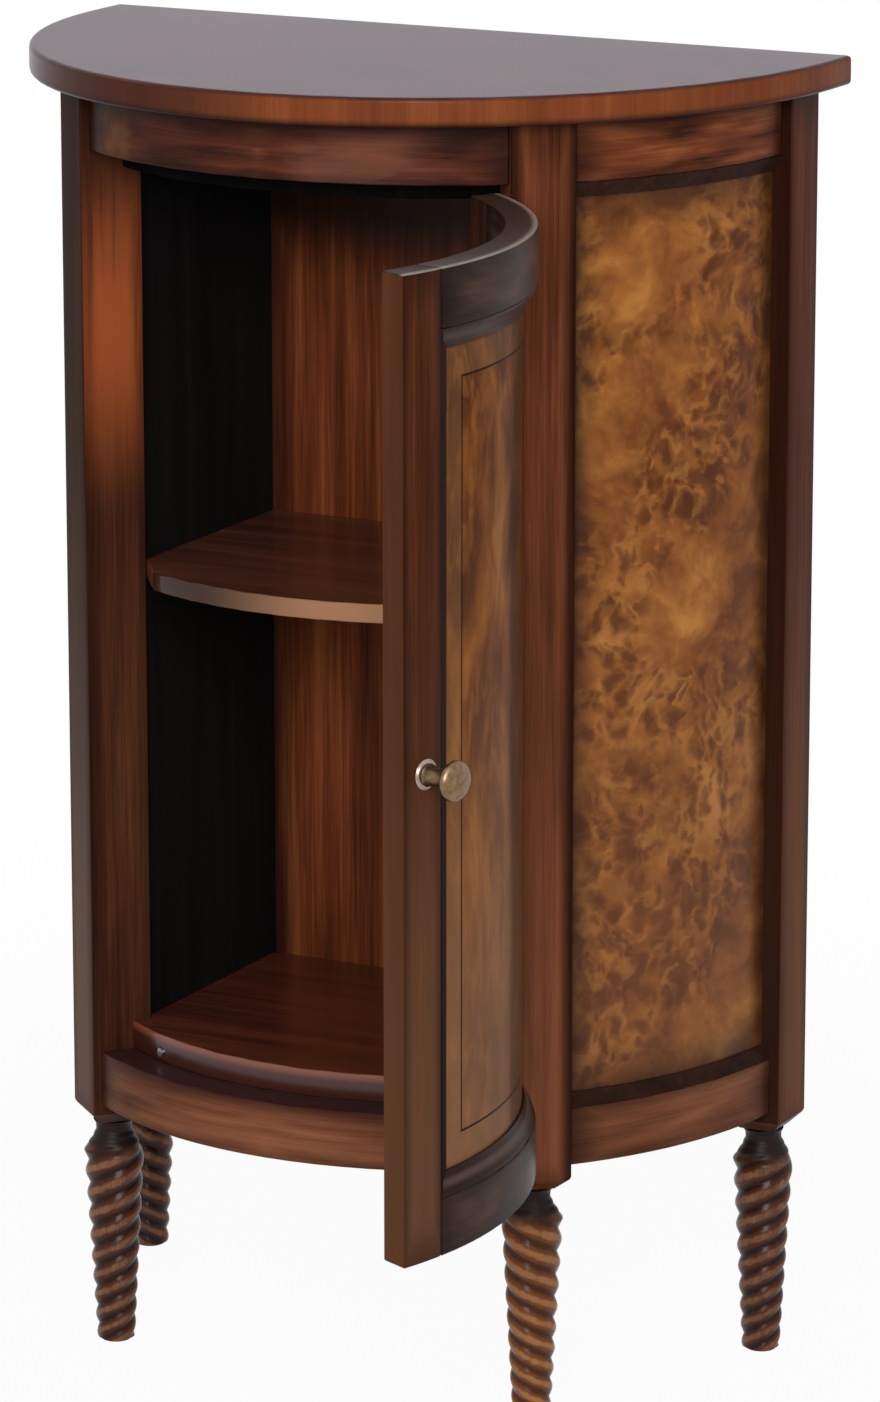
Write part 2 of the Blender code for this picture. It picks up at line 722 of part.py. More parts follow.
def build_door_mouldings():
    """Four mitred mouldings round the panel, each swept along its side of the frame."""
    side_turn = stile_inner_turn()
    low, high = DOOR_LOW + DOOR_RAIL_HEIGHT, DOOR_HIGH - DOOR_RAIL_HEIGHT
    mitre = GAP / 2
    for name, edge_height, inward in (("bottom", low, 1), ("top", high, -1)):
        rings = []
        for step in range(FRONT_STEPS + 1):
            share = 2 * step / FRONT_STEPS - 1
            ring = []
            for across, depth in moulding_section():
                reach = side_turn - (across + mitre) / FRONT_RADIUS
                ring.append(at_front(depth, share * reach, edge_height + inward * across))
            rings.append(ring)
        piece_name = f"door_moulding_{name}"
        add_piece(piece_name, loft_mesh(piece_name, rings), "mahogany", door)
    for name, side in (("lock", -1), ("hinge", 1)):
        rings = []
        for edge_height, inward in ((low, 1), (high, -1)):
            ring = []
            for across, depth in moulding_section():
                turn = side * (side_turn - across / FRONT_RADIUS)
                ring.append(at_front(depth, turn, edge_height + inward * (across + mitre)))
            rings.append(ring)
        piece_name = f"door_moulding_{name}"
        add_piece(piece_name, loft_mesh(piece_name, rings), "mahogany", door)


def build_door_frame():
    inner = stile_inner_turn()
    seam = GAP / FRONT_RADIUS

    def edge_end(inset):
        return front_end(inset, DOOR_GAP)

    def stile_side(inset):
        return inner

    def rail_end(inset):
        return inner - seam

    def rail_start(inset):
        return seam - inner

    stile_plan = front_band(0.0, DOOR_THICKNESS, stile_side, edge_end, 3)
    hinge_stile = board("door_stile_hinge", stile_plan, DOOR_LOW, DOOR_HIGH, "mahogany", door)
    lock_stile = board("door_stile_lock", mirrored(stile_plan), DOOR_LOW, DOOR_HIGH, "mahogany", door)
    rail_plan = front_band(0.0, DOOR_THICKNESS, rail_start, rail_end)
    rail_bottom = board(
        "door_rail_bottom", rail_plan, DOOR_LOW, DOOR_LOW + DOOR_RAIL_HEIGHT, "mahogany", door
    )
    board("door_rail_top", rail_plan, DOOR_HIGH - DOOR_RAIL_HEIGHT, DOOR_HIGH, "mahogany", door)
    panel_plan = front_band(
        DOOR_PANEL_RECESS, DOOR_PANEL_RECESS + DOOR_PANEL_THICKNESS, rail_start, rail_end
    )
    panel_low, panel_high = DOOR_LOW + DOOR_RAIL_HEIGHT + GAP, DOOR_HIGH - DOOR_RAIL_HEIGHT - GAP
    board("door_panel", panel_plan, panel_low, panel_high, "burl_veneer", door, 0.0)
    return hinge_stile, lock_stile, rail_bottom


def build_knob(lock_stile):
    turn = KNOB_STILE_INSET / FRONT_RADIUS - front_end(0.0, DOOR_GAP)
    outward = outward_at(turn)
    face = at_front(0.0, turn, KNOB_HEIGHT)
    rosette = [(ROSETTE_RADIUS * width, ROSETTE_THICKNESS * rise) for width, rise in ROSETTE_OUTLINE]
    seat = face + outward * GAP
    plate = turned("knob_rosette", rosette, seat, outward, "knob_metal", door)
    stand = ROSETTE_THICKNESS + GAP
    profile = [(KNOB_RADIUS * width, KNOB_LENGTH * rise) for width, rise in KNOB_OUTLINE]
    knob = turned("door_knob", profile, seat + outward * stand, outward, "knob_metal", door)
    screw_depth = KNOB_LENGTH * KNOB_SCREW_SHARE
    shank = DOOR_THICKNESS + GAP + stand + screw_depth
    inside = face - outward * DOOR_THICKNESS
    head_thickness = ROSETTE_THICKNESS
    screw = [
        (0.0, shank),
        (KNOB_SCREW_RADIUS, shank),
        (KNOB_SCREW_RADIUS, -GAP),
        (KNOB_SCREW_HEAD, -GAP),
        (KNOB_SCREW_HEAD * SCREW_HEAD_TAPER, -GAP - head_thickness),
        (0.0, -GAP - head_thickness),
    ]
    turned("knob_screw", screw, inside, outward, "catch_steel", door, 16)
    hole = KNOB_SCREW_RADIUS + BORE_CLEARANCE
    bore(lock_stile, hole, DOOR_THICKNESS + BORE_OVERRUN, inside, outward, door)
    bore(plate, hole, ROSETTE_THICKNESS + BORE_OVERRUN, seat, outward, door)
    bore(knob, hole, screw_depth + GAP, seat + outward * stand, outward, door)


def build_strike(rail_bottom):
    """A steel disc let into the door's inner face, opposite the magnet."""
    outward = outward_at(catch_turn())
    face = at_front(DOOR_THICKNESS, catch_turn(), CATCH_HEIGHT)
    bore(rail_bottom, STRIKE_RADIUS + BORE_CLEARANCE, STRIKE_THICKNESS + GAP, face, outward, door)
    rod("catch_strike", STRIKE_RADIUS, STRIKE_THICKNESS, face, outward, "catch_steel", door)


def leaf_outline(reach, knuckles):
    """A leaf seen flat, as (distance from the axis, height): it steps in to its own knuckles only."""
    root = (KNUCKLE_RADIUS + KNUCKLE_BORE) / 2
    clear = KNUCKLE_RADIUS + GAP
    outline = []
    height = 0.0
    for base, top in knuckles:
        tab_base, tab_top = base + LEAF_TAB_MARGIN, top - LEAF_TAB_MARGIN
        outline += [(clear, height), (clear, tab_base), (root, tab_base), (root, tab_top), (clear, tab_top)]
        height = tab_top
    outline += [(clear, HINGE_HEIGHT), (reach, HINGE_HEIGHT), (reach, 0.0)]
    return [Vector(point) for point in dict.fromkeys(outline)]


def leaf(name, low, side, reach, knuckles, holder):
    """A hinge leaf: a plate beside the hinge plane, joined to its knuckles round the axis."""
    offset = side * (DOOR_GAP / 2 - LEAF_THICKNESS / 2 + LEAF_SINK)
    mesh = outline_mesh(name, leaf_outline(reach, knuckles), LEAF_THICKNESS)
    mesh.transform(Matrix.Translation((0.0, offset, 0.0)) @ Matrix.Rotation(math.radians(90), 4, "X"))
    place = (HINGE.x, HINGE.y, low)
    piece = add_piece(name, mesh, "hinge_brass", holder, place, INTO_CABINET)
    loops = [
        [(KNUCKLE_RADIUS, high), (KNUCKLE_RADIUS, base), (KNUCKLE_BORE, base), (KNUCKLE_BORE, high)]
        for base, high in knuckles
    ]
    matrix = Matrix.Translation(place) @ Matrix.Rotation(INTO_CABINET, 4, "Z")
    barrel = add_helper(name + "_knuckles", profile_mesh(name + "_knuckles", loops, True), holder, matrix)
    spin(barrel, 16)
    boolean(piece, barrel, "UNION")


def mortise(piece, low, side, reach, holder):
    """A shallow recess for a leaf, in the post's side or in the door's edge."""
    depth = LEAF_SINK + GAP
    size = (reach + 2 * GAP, 2 * depth, HINGE_HEIGHT + 2 * GAP)
    middle = Vector((size[0] / 2, side * DOOR_GAP / 2, HINGE_HEIGHT / 2))
    mesh = box_mesh(piece.name + "_mortise", size)
    mesh.transform(Matrix.Translation(middle))
    matrix = Matrix.Translation((HINGE.x, HINGE.y, low)) @ Matrix.Rotation(INTO_CABINET, 4, "Z")
    boolean(piece, add_helper(piece.name + "_mortise", mesh, holder, matrix), "DIFFERENCE")


def build_hinges(hinge_stile):
    post = bpy.data.objects["post_front_right"]
    ends = ((0.0, KNUCKLE_LENGTH), (HINGE_HEIGHT - KNUCKLE_LENGTH, HINGE_HEIGHT))
    middle = ((KNUCKLE_LENGTH + GAP, HINGE_HEIGHT - KNUCKLE_LENGTH - GAP),)
    pin_radius = KNUCKLE_BORE - PIN_CLEARANCE
    for name, low in (("lower", DOOR_LOW + HINGE_END), ("upper", DOOR_HIGH - HINGE_END - HINGE_HEIGHT)):
        leaf(f"hinge_{name}_post_leaf", low, -1, POST_LEAF_REACH, ends, cabinet)
        leaf(f"hinge_{name}_door_leaf", low, 1, DOOR_LEAF_REACH, middle, door)
        mortise(post, low, -1, POST_LEAF_REACH, cabinet)
        mortise(hinge_stile, low, 1, DOOR_LEAF_REACH, door)
        top = HINGE_HEIGHT + GAP
        profile = [(KNUCKLE_RADIUS * width, top + PIN_HEAD * rise) for width, rise in PIN_HEAD_OUTLINE]
        profile += [(pin_radius, top), (pin_radius, 0.0), (0.0, 0.0)]
        foot = Vector((HINGE.x, HINGE.y, low))
        turned(f"hinge_{name}_pin", profile, foot, Vector((0, 0, 1)), "hinge_brass", cabinet, 16)


def box_of(pieces):
    """The lowest and highest corners of the pieces as they stand in the scene."""
    bpy.context.view_layer.update()
    graph = bpy.context.evaluated_depsgraph_get()
    points = []
    for piece in pieces:
        evaluated = piece.evaluated_get(graph)
        points += [evaluated.matrix_world @ vert.co for vert in evaluated.data.vertices]
    low = Vector([min(point[axis] for point in points) for axis in range(3)])
    high = Vector([max(point[axis] for point in points) for axis in range(3)])
    return low, high


clear_scene()
parts = new_collection("demilune_cabinet")
helpers = new_collection("cutters")
cabinet = Holder("cabinet", (0.0, 0.0), 0.0)
door = Holder("door_on_its_hinges", HINGE, DOOR_OPEN, cabinet.empty)

build_top()
build_posts_and_legs()
build_rails()
build_side_panels()
build_back()
build_inside()
stile_with_hinges, stile_with_knob, rail_with_strike = build_door_frame()
build_door_mouldings()
build_knob(stile_with_knob)
build_strike(rail_with_strike)
build_hinges(stile_with_hinges)

box_low, box_high = box_of(parts.objects)
box_middle = (box_low + box_high) / 2
cabinet.empty.location = (-box_middle.x, -box_middle.y, -box_low.z)
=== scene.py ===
"""The looks of the demilune cabinet: wood, burl, metal, carved legs, floor, lights and camera."""

import math

import bmesh
import bpy
from mathutils import Matrix, Vector


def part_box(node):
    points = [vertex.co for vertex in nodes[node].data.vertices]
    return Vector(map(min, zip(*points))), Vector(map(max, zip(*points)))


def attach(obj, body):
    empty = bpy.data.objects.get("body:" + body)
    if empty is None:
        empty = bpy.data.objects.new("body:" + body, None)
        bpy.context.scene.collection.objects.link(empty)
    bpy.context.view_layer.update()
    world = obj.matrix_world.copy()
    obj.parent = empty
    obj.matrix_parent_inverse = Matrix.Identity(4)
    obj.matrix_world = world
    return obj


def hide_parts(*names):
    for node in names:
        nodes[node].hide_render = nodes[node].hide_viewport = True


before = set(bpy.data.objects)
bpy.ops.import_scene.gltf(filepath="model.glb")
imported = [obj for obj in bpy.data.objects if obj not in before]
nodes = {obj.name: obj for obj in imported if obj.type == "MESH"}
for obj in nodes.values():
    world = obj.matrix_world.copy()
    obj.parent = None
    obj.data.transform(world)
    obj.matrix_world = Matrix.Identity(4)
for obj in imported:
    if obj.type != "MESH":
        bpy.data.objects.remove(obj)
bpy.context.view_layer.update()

# Camera, measured from the photograph
AZIMUTH = math.radians(27.56)
ELEVATION = math.radians(13.81)
DISTANCE = 4.44
LENS = 162.16
TARGET_SIDEWAYS = -0.0238
TARGET_HEIGHT = 0.4255
BACK_EDGE_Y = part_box("top_board")[1].y

# Light, and the two distances between which the floor goes over into white
FILL_STRENGTH = 0.38
LAMP_TARGET = (0.0, 0.1, 0.45)
FLOOR_SIZE = 14.0
FLOOR_GREY = 0.93
FLOOR_WHITENS = (0.55, 1.7)
FLOOR_WHITE_NEAR = 0.95

# Plan of the cabinet, in metres and radians. A curve is its centre's y, its depth over its width, its radius
SIDES = (("left", -1), ("right", 1))
SIDE_CENTRE_Y = 0.256438
SIDE_RATIO = 1.08557
SIDE_RADIUS = 0.2546
SIDE_CURVE = (SIDE_CENTRE_Y, SIDE_RATIO, SIDE_RADIUS)
SIDE_START = 0.8083
SIDE_END = 1.4580
FRONT_CENTRE_Y = 0.24707
FRONT_RADIUS = 0.2671
FRONT_CURVE = (FRONT_CENTRE_Y, 1.0, FRONT_RADIUS)
FRONT_END = 0.6268
BOARD_INSET = 0.023
POST_TURN = math.radians(41.5)
FRONT_POST = (0.1625, 0.05704)
BACK_POST = (0.2453, 0.24714)
HALF_POST = 0.0215

# Door; its looks are laid out on the shut door
HINGE = (0.163324, 0.022308, 0.0)
DOOR_OPEN = math.radians(106.5)
DOOR_EDGE_TURN = 0.6211
DOOR_GAP = 0.0018
STILE_TURN = 0.49384
PANEL_MIDDLE_DEPTH = 0.0125
INLAY_INSET = 0.034
INLAY_WIDTH = 0.0007

# Knob; a stand is how far from the front of the door a piece starts
KNOB_TURN = -0.55
KNOB_HEIGHT = 0.529
KNOB_STAND = 0.0026
KNOB_RADIUS = 0.0128
KNOB_LENGTH = 0.027
KNOB_OUTLINE = (
    (0.0, 1.0), (0.55, 0.975), (0.9, 0.89), (1.0, 0.8), (0.92, 0.72),
    (0.51, 0.6), (0.42, 0.4), (0.53, 0.08), (0.53, 0.0), (0.0, 0.0),
)
ROSETTE_STAND = 0.0003
ROSETTE_RADIUS = 0.009
ROSETTE_THICKNESS = 0.002
ROSETTE_OUTLINE = ((0.0, 1.0), (0.8, 1.0), (1.0, 0.5), (1.0, 0.0), (0.0, 0.0))
TURNED_SIDES = 64
TURNED_STEPS = 6
AXIS_REACH = 1e-6

# Screws in the hinge leaves
SCREW_RADIUS = 0.0024
SCREW_TOP_SHARE = 0.96
SCREW_HEIGHT = 0.00016
SCREW_SLOT = 0.0005
SCREW_STEPS = 12
SCREW_SHARES = (0.14, 0.5, 0.86)
SCREW_MIDDLE_SHIFT = 0.004
SCREW_END_SHIFT = -0.003
LEAF_FACE = 0.0003
POST_LEAF_REACH = 0.013
DOOR_LEAF_REACH = 0.015


def heights(name):
    """The lowest and the highest point of a CAD piece."""
    low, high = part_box(name)
    return low.z, high.z


BASE_RAIL_LOW, BASE_RAIL_TOP = heights("base_rail_front")
FLOOR_TOP = heights("floor_board")[1]
FRIEZE_LOW = heights("frieze_rail_front")[0]
TOP_UNDERSIDE, TOTAL_HEIGHT = heights("top_board")
DOOR_LOW, DOOR_HIGH = heights("door_stile_lock")
PANEL_LOW, PANEL_HIGH = heights("door_panel")

# Carved legs
TWIST_TOP = 0.1365
FOOT_RADIUS = 0.0132
SHOULDER_RADIUS = 0.0208
GROOVE = 0.0028
STARTS = 3
LEAD_AT_FOOT = 0.039
LEAD_AT_SHOULDER = 0.051
STRAND_ROUNDNESS = 1.25
SHOULDER_FADE = 0.7
LEG_SIDES = 90
LEG_RINGS = 160
SHOULDER = (
    (TWIST_TOP, SHOULDER_RADIUS), (0.1424, 0.0180), (0.1483, 0.0146),
    (0.1525, 0.0125), (0.1560, 0.0125), (0.1597, 0.0140),
)

# Surfaces: what counts as a sharp edge, and how wide the rise is where a look ends
SHARP_ANGLE = math.radians(50)
WELD_REACH = 0.00001
SOFT_EDGE = 0.001
# Painted highlight along the front rim of the door's top end: its inset and width
DOOR_HIGHLIGHT_INSET = 0.0015
DOOR_HIGHLIGHT_WIDTH = 0.0045

# Heights and places between which a tint of the wood grows from nothing to its full share: glaze, a dark
# neck, painted shade, a painted sheen and painted light, as each name says
SHEEN_HEIGHTS = (0.71, 0.25)
POST_HEAD_SHADE = (0.835, 0.878)
POST_FOOT_SHADE = (0.185, 0.163)
POST_EDGE = (0.009, 0.0205)
POST_DARK_HEIGHTS = (0.30, 0.66)
JAMB_SHADE_HEIGHTS = (0.775, 0.835)
BACK_SHADE_HEIGHTS = (0.715, 0.775)
BACK_SHADE_REACH = (0.110, 0.142)
FRIEZE_SHADE = (0.02, -0.08)
SHELF_SHADE = (0.05, -0.07)
TOP_EDGE_SHADE = (0.05, -0.06)
TOP_EDGE_END_SHADE = (-0.225, -0.265)
DOOR_PANEL_SHADE = (-0.024, -0.010)
LEG_NECK = (0.133, 0.145)
LIT_LEG_X = (0.05, 0.12)
LIT_LEG_Y = (0.20, 0.12)

# Patches of a tint: where the middle is, and how far it reaches to either side. The jamb's patch is a painted
# pool of light, the golden one is figure, and the pale flame is partly figure and partly painted sheen
JAMB_LIGHT_POOL = (0.722, 0.14)
GOLDEN_PATCH = (-0.125, 0.045)
PALE_FLAME_AND_SHEEN = (0.065, 0.085)

# How far the dark glaze reaches from an edge or an end, and how far the painted shade reaches up the top
# board's edge from its foot
EDGE_GLAZE = 0.009
END_GLAZE = 0.030
PANEL_SIDE_GLAZE = 0.022
PANEL_FOOT_GLAZE = 0.050
PANEL_HEAD_GLAZE = 0.045
TOP_FOOT_SHADE = 0.006
TOP_RIM_GLAZE = 0.0035


def tone(red, green, blue):
    """A colour as it looks on a screen, from 0 to 255, as the linear values that a shader takes."""
    shares = (value / 255 for value in (red, green, blue))
    return (*(s / 12.92 if s <= 0.04045 else ((s + 0.055) / 1.055) ** 2.4 for s in shares), 1.0)


# Woods, each as its dark, its middle and its light tone
MAHOGANY = (tone(60, 29, 18), tone(112, 60, 38), tone(146, 86, 55))
# The left front post's wood: the mahogany darkened as painted shade
SHADED_WOOD = (tone(36, 18, 12), tone(66, 36, 24), tone(98, 56, 36))
BACK_POST_WOOD = (tone(50, 22, 10), tone(84, 38, 16), tone(112, 60, 34))
BACK_WOOD = (tone(46, 19, 10), tone(106, 51, 26), tone(158, 90, 49))
DOOR_WOOD = (tone(32, 14, 8), tone(62, 29, 14), tone(92, 48, 26))
DOOR_RAIL_WOOD = (tone(30, 19, 16), tone(56, 37, 31), tone(84, 58, 50))
FRIEZE_WOOD = (tone(46, 22, 15), tone(88, 45, 31), tone(130, 76, 55))
SIDE_FRIEZE_WOOD = (tone(52, 23, 14), tone(114, 59, 34), tone(170, 104, 60))
BASE_WOOD = (tone(78, 42, 27), tone(112, 67, 45), tone(142, 92, 63))
FLOOR_WOOD = (tone(52, 25, 17), tone(86, 42, 27), tone(112, 58, 38))
SHELF_WOOD = (tone(52, 29, 22), tone(86, 48, 35), tone(112, 65, 48))
MOULDING_WOOD = (tone(30, 17, 12), tone(43, 25, 18), tone(58, 34, 25))
TOP_WOOD = (tone(60, 32, 31), tone(77, 44, 43), tone(95, 60, 58))
TOP_EDGE_WOOD = (tone(100, 49, 25), tone(119, 61, 32), tone(137, 75, 41))
LEG_WOOD = (tone(84, 52, 33), tone(118, 80, 56), tone(150, 108, 78))
NEAR_BLACK_WALL = (tone(13, 13, 14), tone(20, 19, 20), tone(27, 25, 26))
BLACK_CEILING = (tone(7, 6, 6), tone(10, 9, 9), tone(15, 13, 13))

# Burl, from its dark to its light tone, and which slice of the pattern a panel is cut from
SIDE_BURL = (tone(98, 53, 24), tone(128, 74, 34), tone(151, 93, 43), tone(182, 122, 62))
DOOR_BURL = (tone(66, 32, 11), tone(94, 50, 18), tone(122, 70, 28), tone(154, 98, 46))
SIDE_SLICE = 3.7
DOOR_SLICE = 9.1

# Tints over the wood: a dark glaze that also serves as painted shade, and a pale painted sheen
GLAZE_AND_SHADE = tone(24, 12, 9)
# A pale painted sheen, laid on faces towards the bottom
PALE_SHEEN = tone(132, 92, 66)


class Look:
    """A node material being put together. Each method adds nodes and gives back the socket they end in."""

    def __init__(self, name, roughness=0.4, specular=0.3, metallic=0.0):
        self.material = bpy.data.materials.new(name)
        self.material.use_nodes = True
        self.tree = self.material.node_tree
        self.shader = self.tree.nodes["Principled BSDF"]
        self.shader.inputs["Roughness"].default_value = roughness
        self.shader.inputs["Specular IOR Level"].default_value = specular
        self.shader.inputs["Metallic"].default_value = metallic
        self.place = self.new("ShaderNodeTexCoord").outputs["Object"]

    def new(self, kind, **settings):
        node = self.tree.nodes.new(kind)
        for key, value in settings.items():
            setattr(node, key, value)
        return node

    def feed(self, socket, value):
        """Links a socket or sets a plain value."""
        if isinstance(value, bpy.types.NodeSocket):
            self.tree.links.new(value, socket)
        else:
            socket.default_value = value

    def calc(self, operation, *values):
        node = self.new("ShaderNodeMath", operation=operation)
        for socket, value in zip(node.inputs, values):
            self.feed(socket, value)
        return node.outputs[0]

    def times(self, first, *others):
        """The product of some values."""
        result = first
        for value in others:
            result = self.calc("MULTIPLY", result, value)
        return result

    def most(self, first, *others):
        """The largest of some values."""
        result = first
        for value in others:
            result = self.calc("MAXIMUM", result, value)
        return result

    def blend(self, *parts):
        """The sum of some values, each with its own weight."""
        total = 0.0
        for value, weight in parts:
            total = self.calc("MULTIPLY_ADD", value, weight, total)
        return total

    def vector(self, operation, *values):
        node = self.new("ShaderNodeVectorMath", operation=operation)
        for socket, value in zip(node.inputs, values):
            self.feed(socket, value)
        return node.outputs["Vector"]

    def split(self, vector):
        node = self.new("ShaderNodeSeparateXYZ")
        self.feed(node.inputs[0], vector)
        return node.outputs

    def join(self, *values):
        node = self.new("ShaderNodeCombineXYZ")
        for socket, value in zip(node.inputs, values):
            self.feed(socket, value)
        return node.outputs[0]

    def turned(self, vector, centre, angle):
        node = self.new("ShaderNodeVectorRotate", rotation_type="Z_AXIS")
        self.feed(node.inputs["Vector"], vector)
        node.inputs["Center"].default_value = centre
        node.inputs["Angle"].default_value = angle
        return node.outputs[0]

    def shut_place(self):
        """Where a point of the open door lies when the door is shut."""
        return self.turned(self.place, HINGE, -DOOR_OPEN)

    def noise(self, vector, scale, detail=2.0, roughness=0.5, distortion=0.0, output="Fac"):
        node = self.new("ShaderNodeTexNoise")
        self.feed(node.inputs["Vector"], vector)
        for socket, value in (
            ("Scale", scale), ("Detail", detail), ("Roughness", roughness), ("Distortion", distortion)
        ):
            self.feed(node.inputs[socket], value)
        return node.outputs[output]

    def cells(self, vector, scale):
        node = self.new("ShaderNodeTexVoronoi", voronoi_dimensions="2D")
        self.feed(node.inputs["Vector"], vector)
        node.inputs["Scale"].default_value = scale
        return node.outputs

    def step(self, value, low, high):
        """0 at low, 1 at high, with a smooth rise between them; low may be the larger."""
        node = self.new("ShaderNodeMapRange", interpolation_type="SMOOTHSTEP")
        self.feed(node.inputs["Value"], value)
        flipped = low > high
        node.inputs["From Min"].default_value = min(low, high)
        node.inputs["From Max"].default_value = max(low, high)
        node.inputs["To Min"].default_value = 1.0 if flipped else 0.0
        node.inputs["To Max"].default_value = 0.0 if flipped else 1.0
        return node.outputs[0]

    def near(self, value, edge, width):
        """1 at the edge and 0 from the width on, to either side of it."""
        return self.step(self.calc("ABSOLUTE", self.calc("SUBTRACT", value, edge)), width, 0.0)

    def on_face(self, reach, face, start=0.0008, full=0.0002):
        """1 on an outer face and 0 further in than the start."""
        return self.step(reach, face - start, face - full)

    def painted_sheen(self, z, share):
        """How much pale painted sheen lies on a face: none near the top, the share near the bottom."""
        return self.times(self.step(z, *SHEEN_HEIGHTS), share)

    def ramp(self, value, *stops):
        node = self.new("ShaderNodeValToRGB")
        elements = node.color_ramp.elements
        while len(elements) < len(stops):
            elements.new(0.5)
        for element, (position, colour) in zip(elements, stops):
            element.position = position
            element.color = colour
        self.feed(node.inputs[0], value)
        return node.outputs[0]

    def mix(self, share, first, second):
        node = self.new("ShaderNodeMix", data_type="RGBA")
        for index, value in ((0, share), (6, first), (7, second)):
            self.feed(node.inputs[index], value)
        return node.outputs[2]

    def tint(self, colour, mask, share, tint):
        """The colour with a tint laid over it, by its share where the mask is 1."""
        return self.mix(self.times(mask, share), colour, tint)

    def finish(self, colour, height=None, bump=0.15, depth=0.0004, roughness=None):
        """Feeds the shader and gives back the material; height makes fine relief, such as pores."""
        self.feed(self.shader.inputs["Base Color"], colour)
        if height is not None:
            node = self.new("ShaderNodeBump")
            node.inputs["Strength"].default_value = bump
            node.inputs["Distance"].default_value = depth
            self.feed(node.inputs["Height"], height)
            self.feed(self.shader.inputs["Normal"], node.outputs[0])
        if roughness is not None:
            self.feed(self.shader.inputs["Roughness"], roughness)
        return self.material


def bent(look, place, centre_y, ratio, radius):
    """A place seen from the axis of a curved board: distance along the curve, distance out, height."""
    x, y, z = look.split(place)
    ahead = look.calc("DIVIDE", look.calc("SUBTRACT", centre_y, y), ratio)
    turn = look.calc("ARCTAN2", x, ahead)
    out = look.calc("SQRT", look.calc("ADD", look.times(x, x), look.times(ahead, ahead)))
    return look.times(turn, radius), out, z


def grain_noise(look, widths, length, across, along, detail, roughness, distortion=0.0):
    """Noise drawn out along the grain, with so many spots to the metre across it and along it."""
    first, second = (look.times(width, across) for width in widths)
    vector = look.join(first, second, look.times(length, along))
    return look.noise(vector, 1.0, detail, roughness, distortion)


def wood(look, widths, length, dark, middle, light):
    """Straight-grained wood: its colour, and the height of its pores and fibres."""
    figure = grain_noise(look, widths, length, 42.0, 3.0, 3.0, 0.5, 0.5)
    streaks = grain_noise(look, widths, length, 260.0, 5.0, 4.0, 0.6)
    fibres = grain_noise(look, widths, length, 1300.0, 22.0, 2.0, 0.6)
    share = look.blend((figure, 0.50), (streaks, 0.32), (fibres, 0.18))
    colour = look.ramp(share, (0.34, dark), (0.50, middle), (0.66, light))
    pores = look.step(grain_noise(look, widths, length, 2400.0, 75.0, 2.0, 0.6), 0.60, 0.72)
    colour = look.tint(colour, pores, 0.2, dark)
    return colour, look.calc("SUBTRACT", look.times(fibres, 0.4), pores)


def figured_wood(look, widths, length, dark, middle, light, curl):
    """Curly wood: soft flames along the board, with finer curls and fibres in them."""
    flames = grain_noise(look, widths, length, 30.0, curl, 2.0, 0.5, 0.6)
    curls = grain_noise(look, widths, length, 90.0, curl * 2, 3.0, 0.5, 0.4)
    fibres = grain_noise(look, widths, length, 600.0, 14.0, 2.0, 0.5)
    share = look.blend((flames, 0.54), (curls, 0.32), (fibres, 0.14))
    return look.ramp(share, (0.36, dark), (0.50, middle), (0.66, light)), fibres


def post_wood(look, centre, turn, woods, edge_share):
    """A post's wood, the dark glaze along its edges, painted shade at its head and foot, and the place in the
    post's own axes.
    """
    x, y, z = look.split(look.place)
    colour, height = wood(look, (x, y), z, *woods)
    local = look.turned(look.place, (*centre, 0.0), -turn)
    local_x, local_y, _ = look.split(look.vector("SUBTRACT", local, (*centre, 0.0)))
    edges = look.times(
        look.step(look.calc("ABSOLUTE", local_x), *POST_EDGE),
        look.step(look.calc("ABSOLUTE", local_y), *POST_EDGE),
    )
    # Painted shade at the head of the post under the top, and at its foot
    ends = look.most(look.step(z, *POST_HEAD_SHADE), look.step(z, *POST_FOOT_SHADE))
    glaze_and_shade = look.most(look.times(edges, edge_share), look.times(ends, 0.5))
    return colour, height, glaze_and_shade, local_x, local_y, z


def front_post_look(name, side, woods, edge_share, sheen_share, sheen_tone, upper_dark_share, light_pool_share):
    """A front post: its outer face has a pale painted sheen towards the bottom and is darker higher up; its
    face to the door has a painted pool of light, and painted shade near its top.
    """
    look = Look(name, roughness=0.40, specular=0.01)
    centre = (FRONT_POST[0] * side, FRONT_POST[1])
    colour, height, glaze_and_shade, local_x, local_y, z = post_wood(look, centre, POST_TURN * side, woods, edge_share)
    jamb = look.on_face(look.times(local_x, -side), HALF_POST)
    outside = look.calc("SUBTRACT", 1.0, jamb)
    # Painted sheen: the outer face grows paler towards the bottom
    colour = look.mix(look.times(outside, look.painted_sheen(z, sheen_share)), colour, sheen_tone)
    streaks = look.step(grain_noise(look, (local_x, local_y), z, 170.0, 5.0, 3.0, 0.6), 0.22, 0.58)
    # A painted pool of light on the jamb, the post's face to the door
    patch = look.times(look.near(z, *JAMB_LIGHT_POOL), streaks, light_pool_share)
    colour = look.tint(colour, patch, jamb, tone(154, 78, 41))
    # The outer face is darker higher up
    upper = look.times(outside, look.step(z, *POST_DARK_HEIGHTS), upper_dark_share)
    # Painted shade on the jamb near its top, under the ceiling
    under_top = look.times(jamb, look.step(z, *JAMB_SHADE_HEIGHTS), 0.5)
    return look.finish(look.mix(look.most(glaze_and_shade, upper, under_top), colour, GLAZE_AND_SHADE), height)


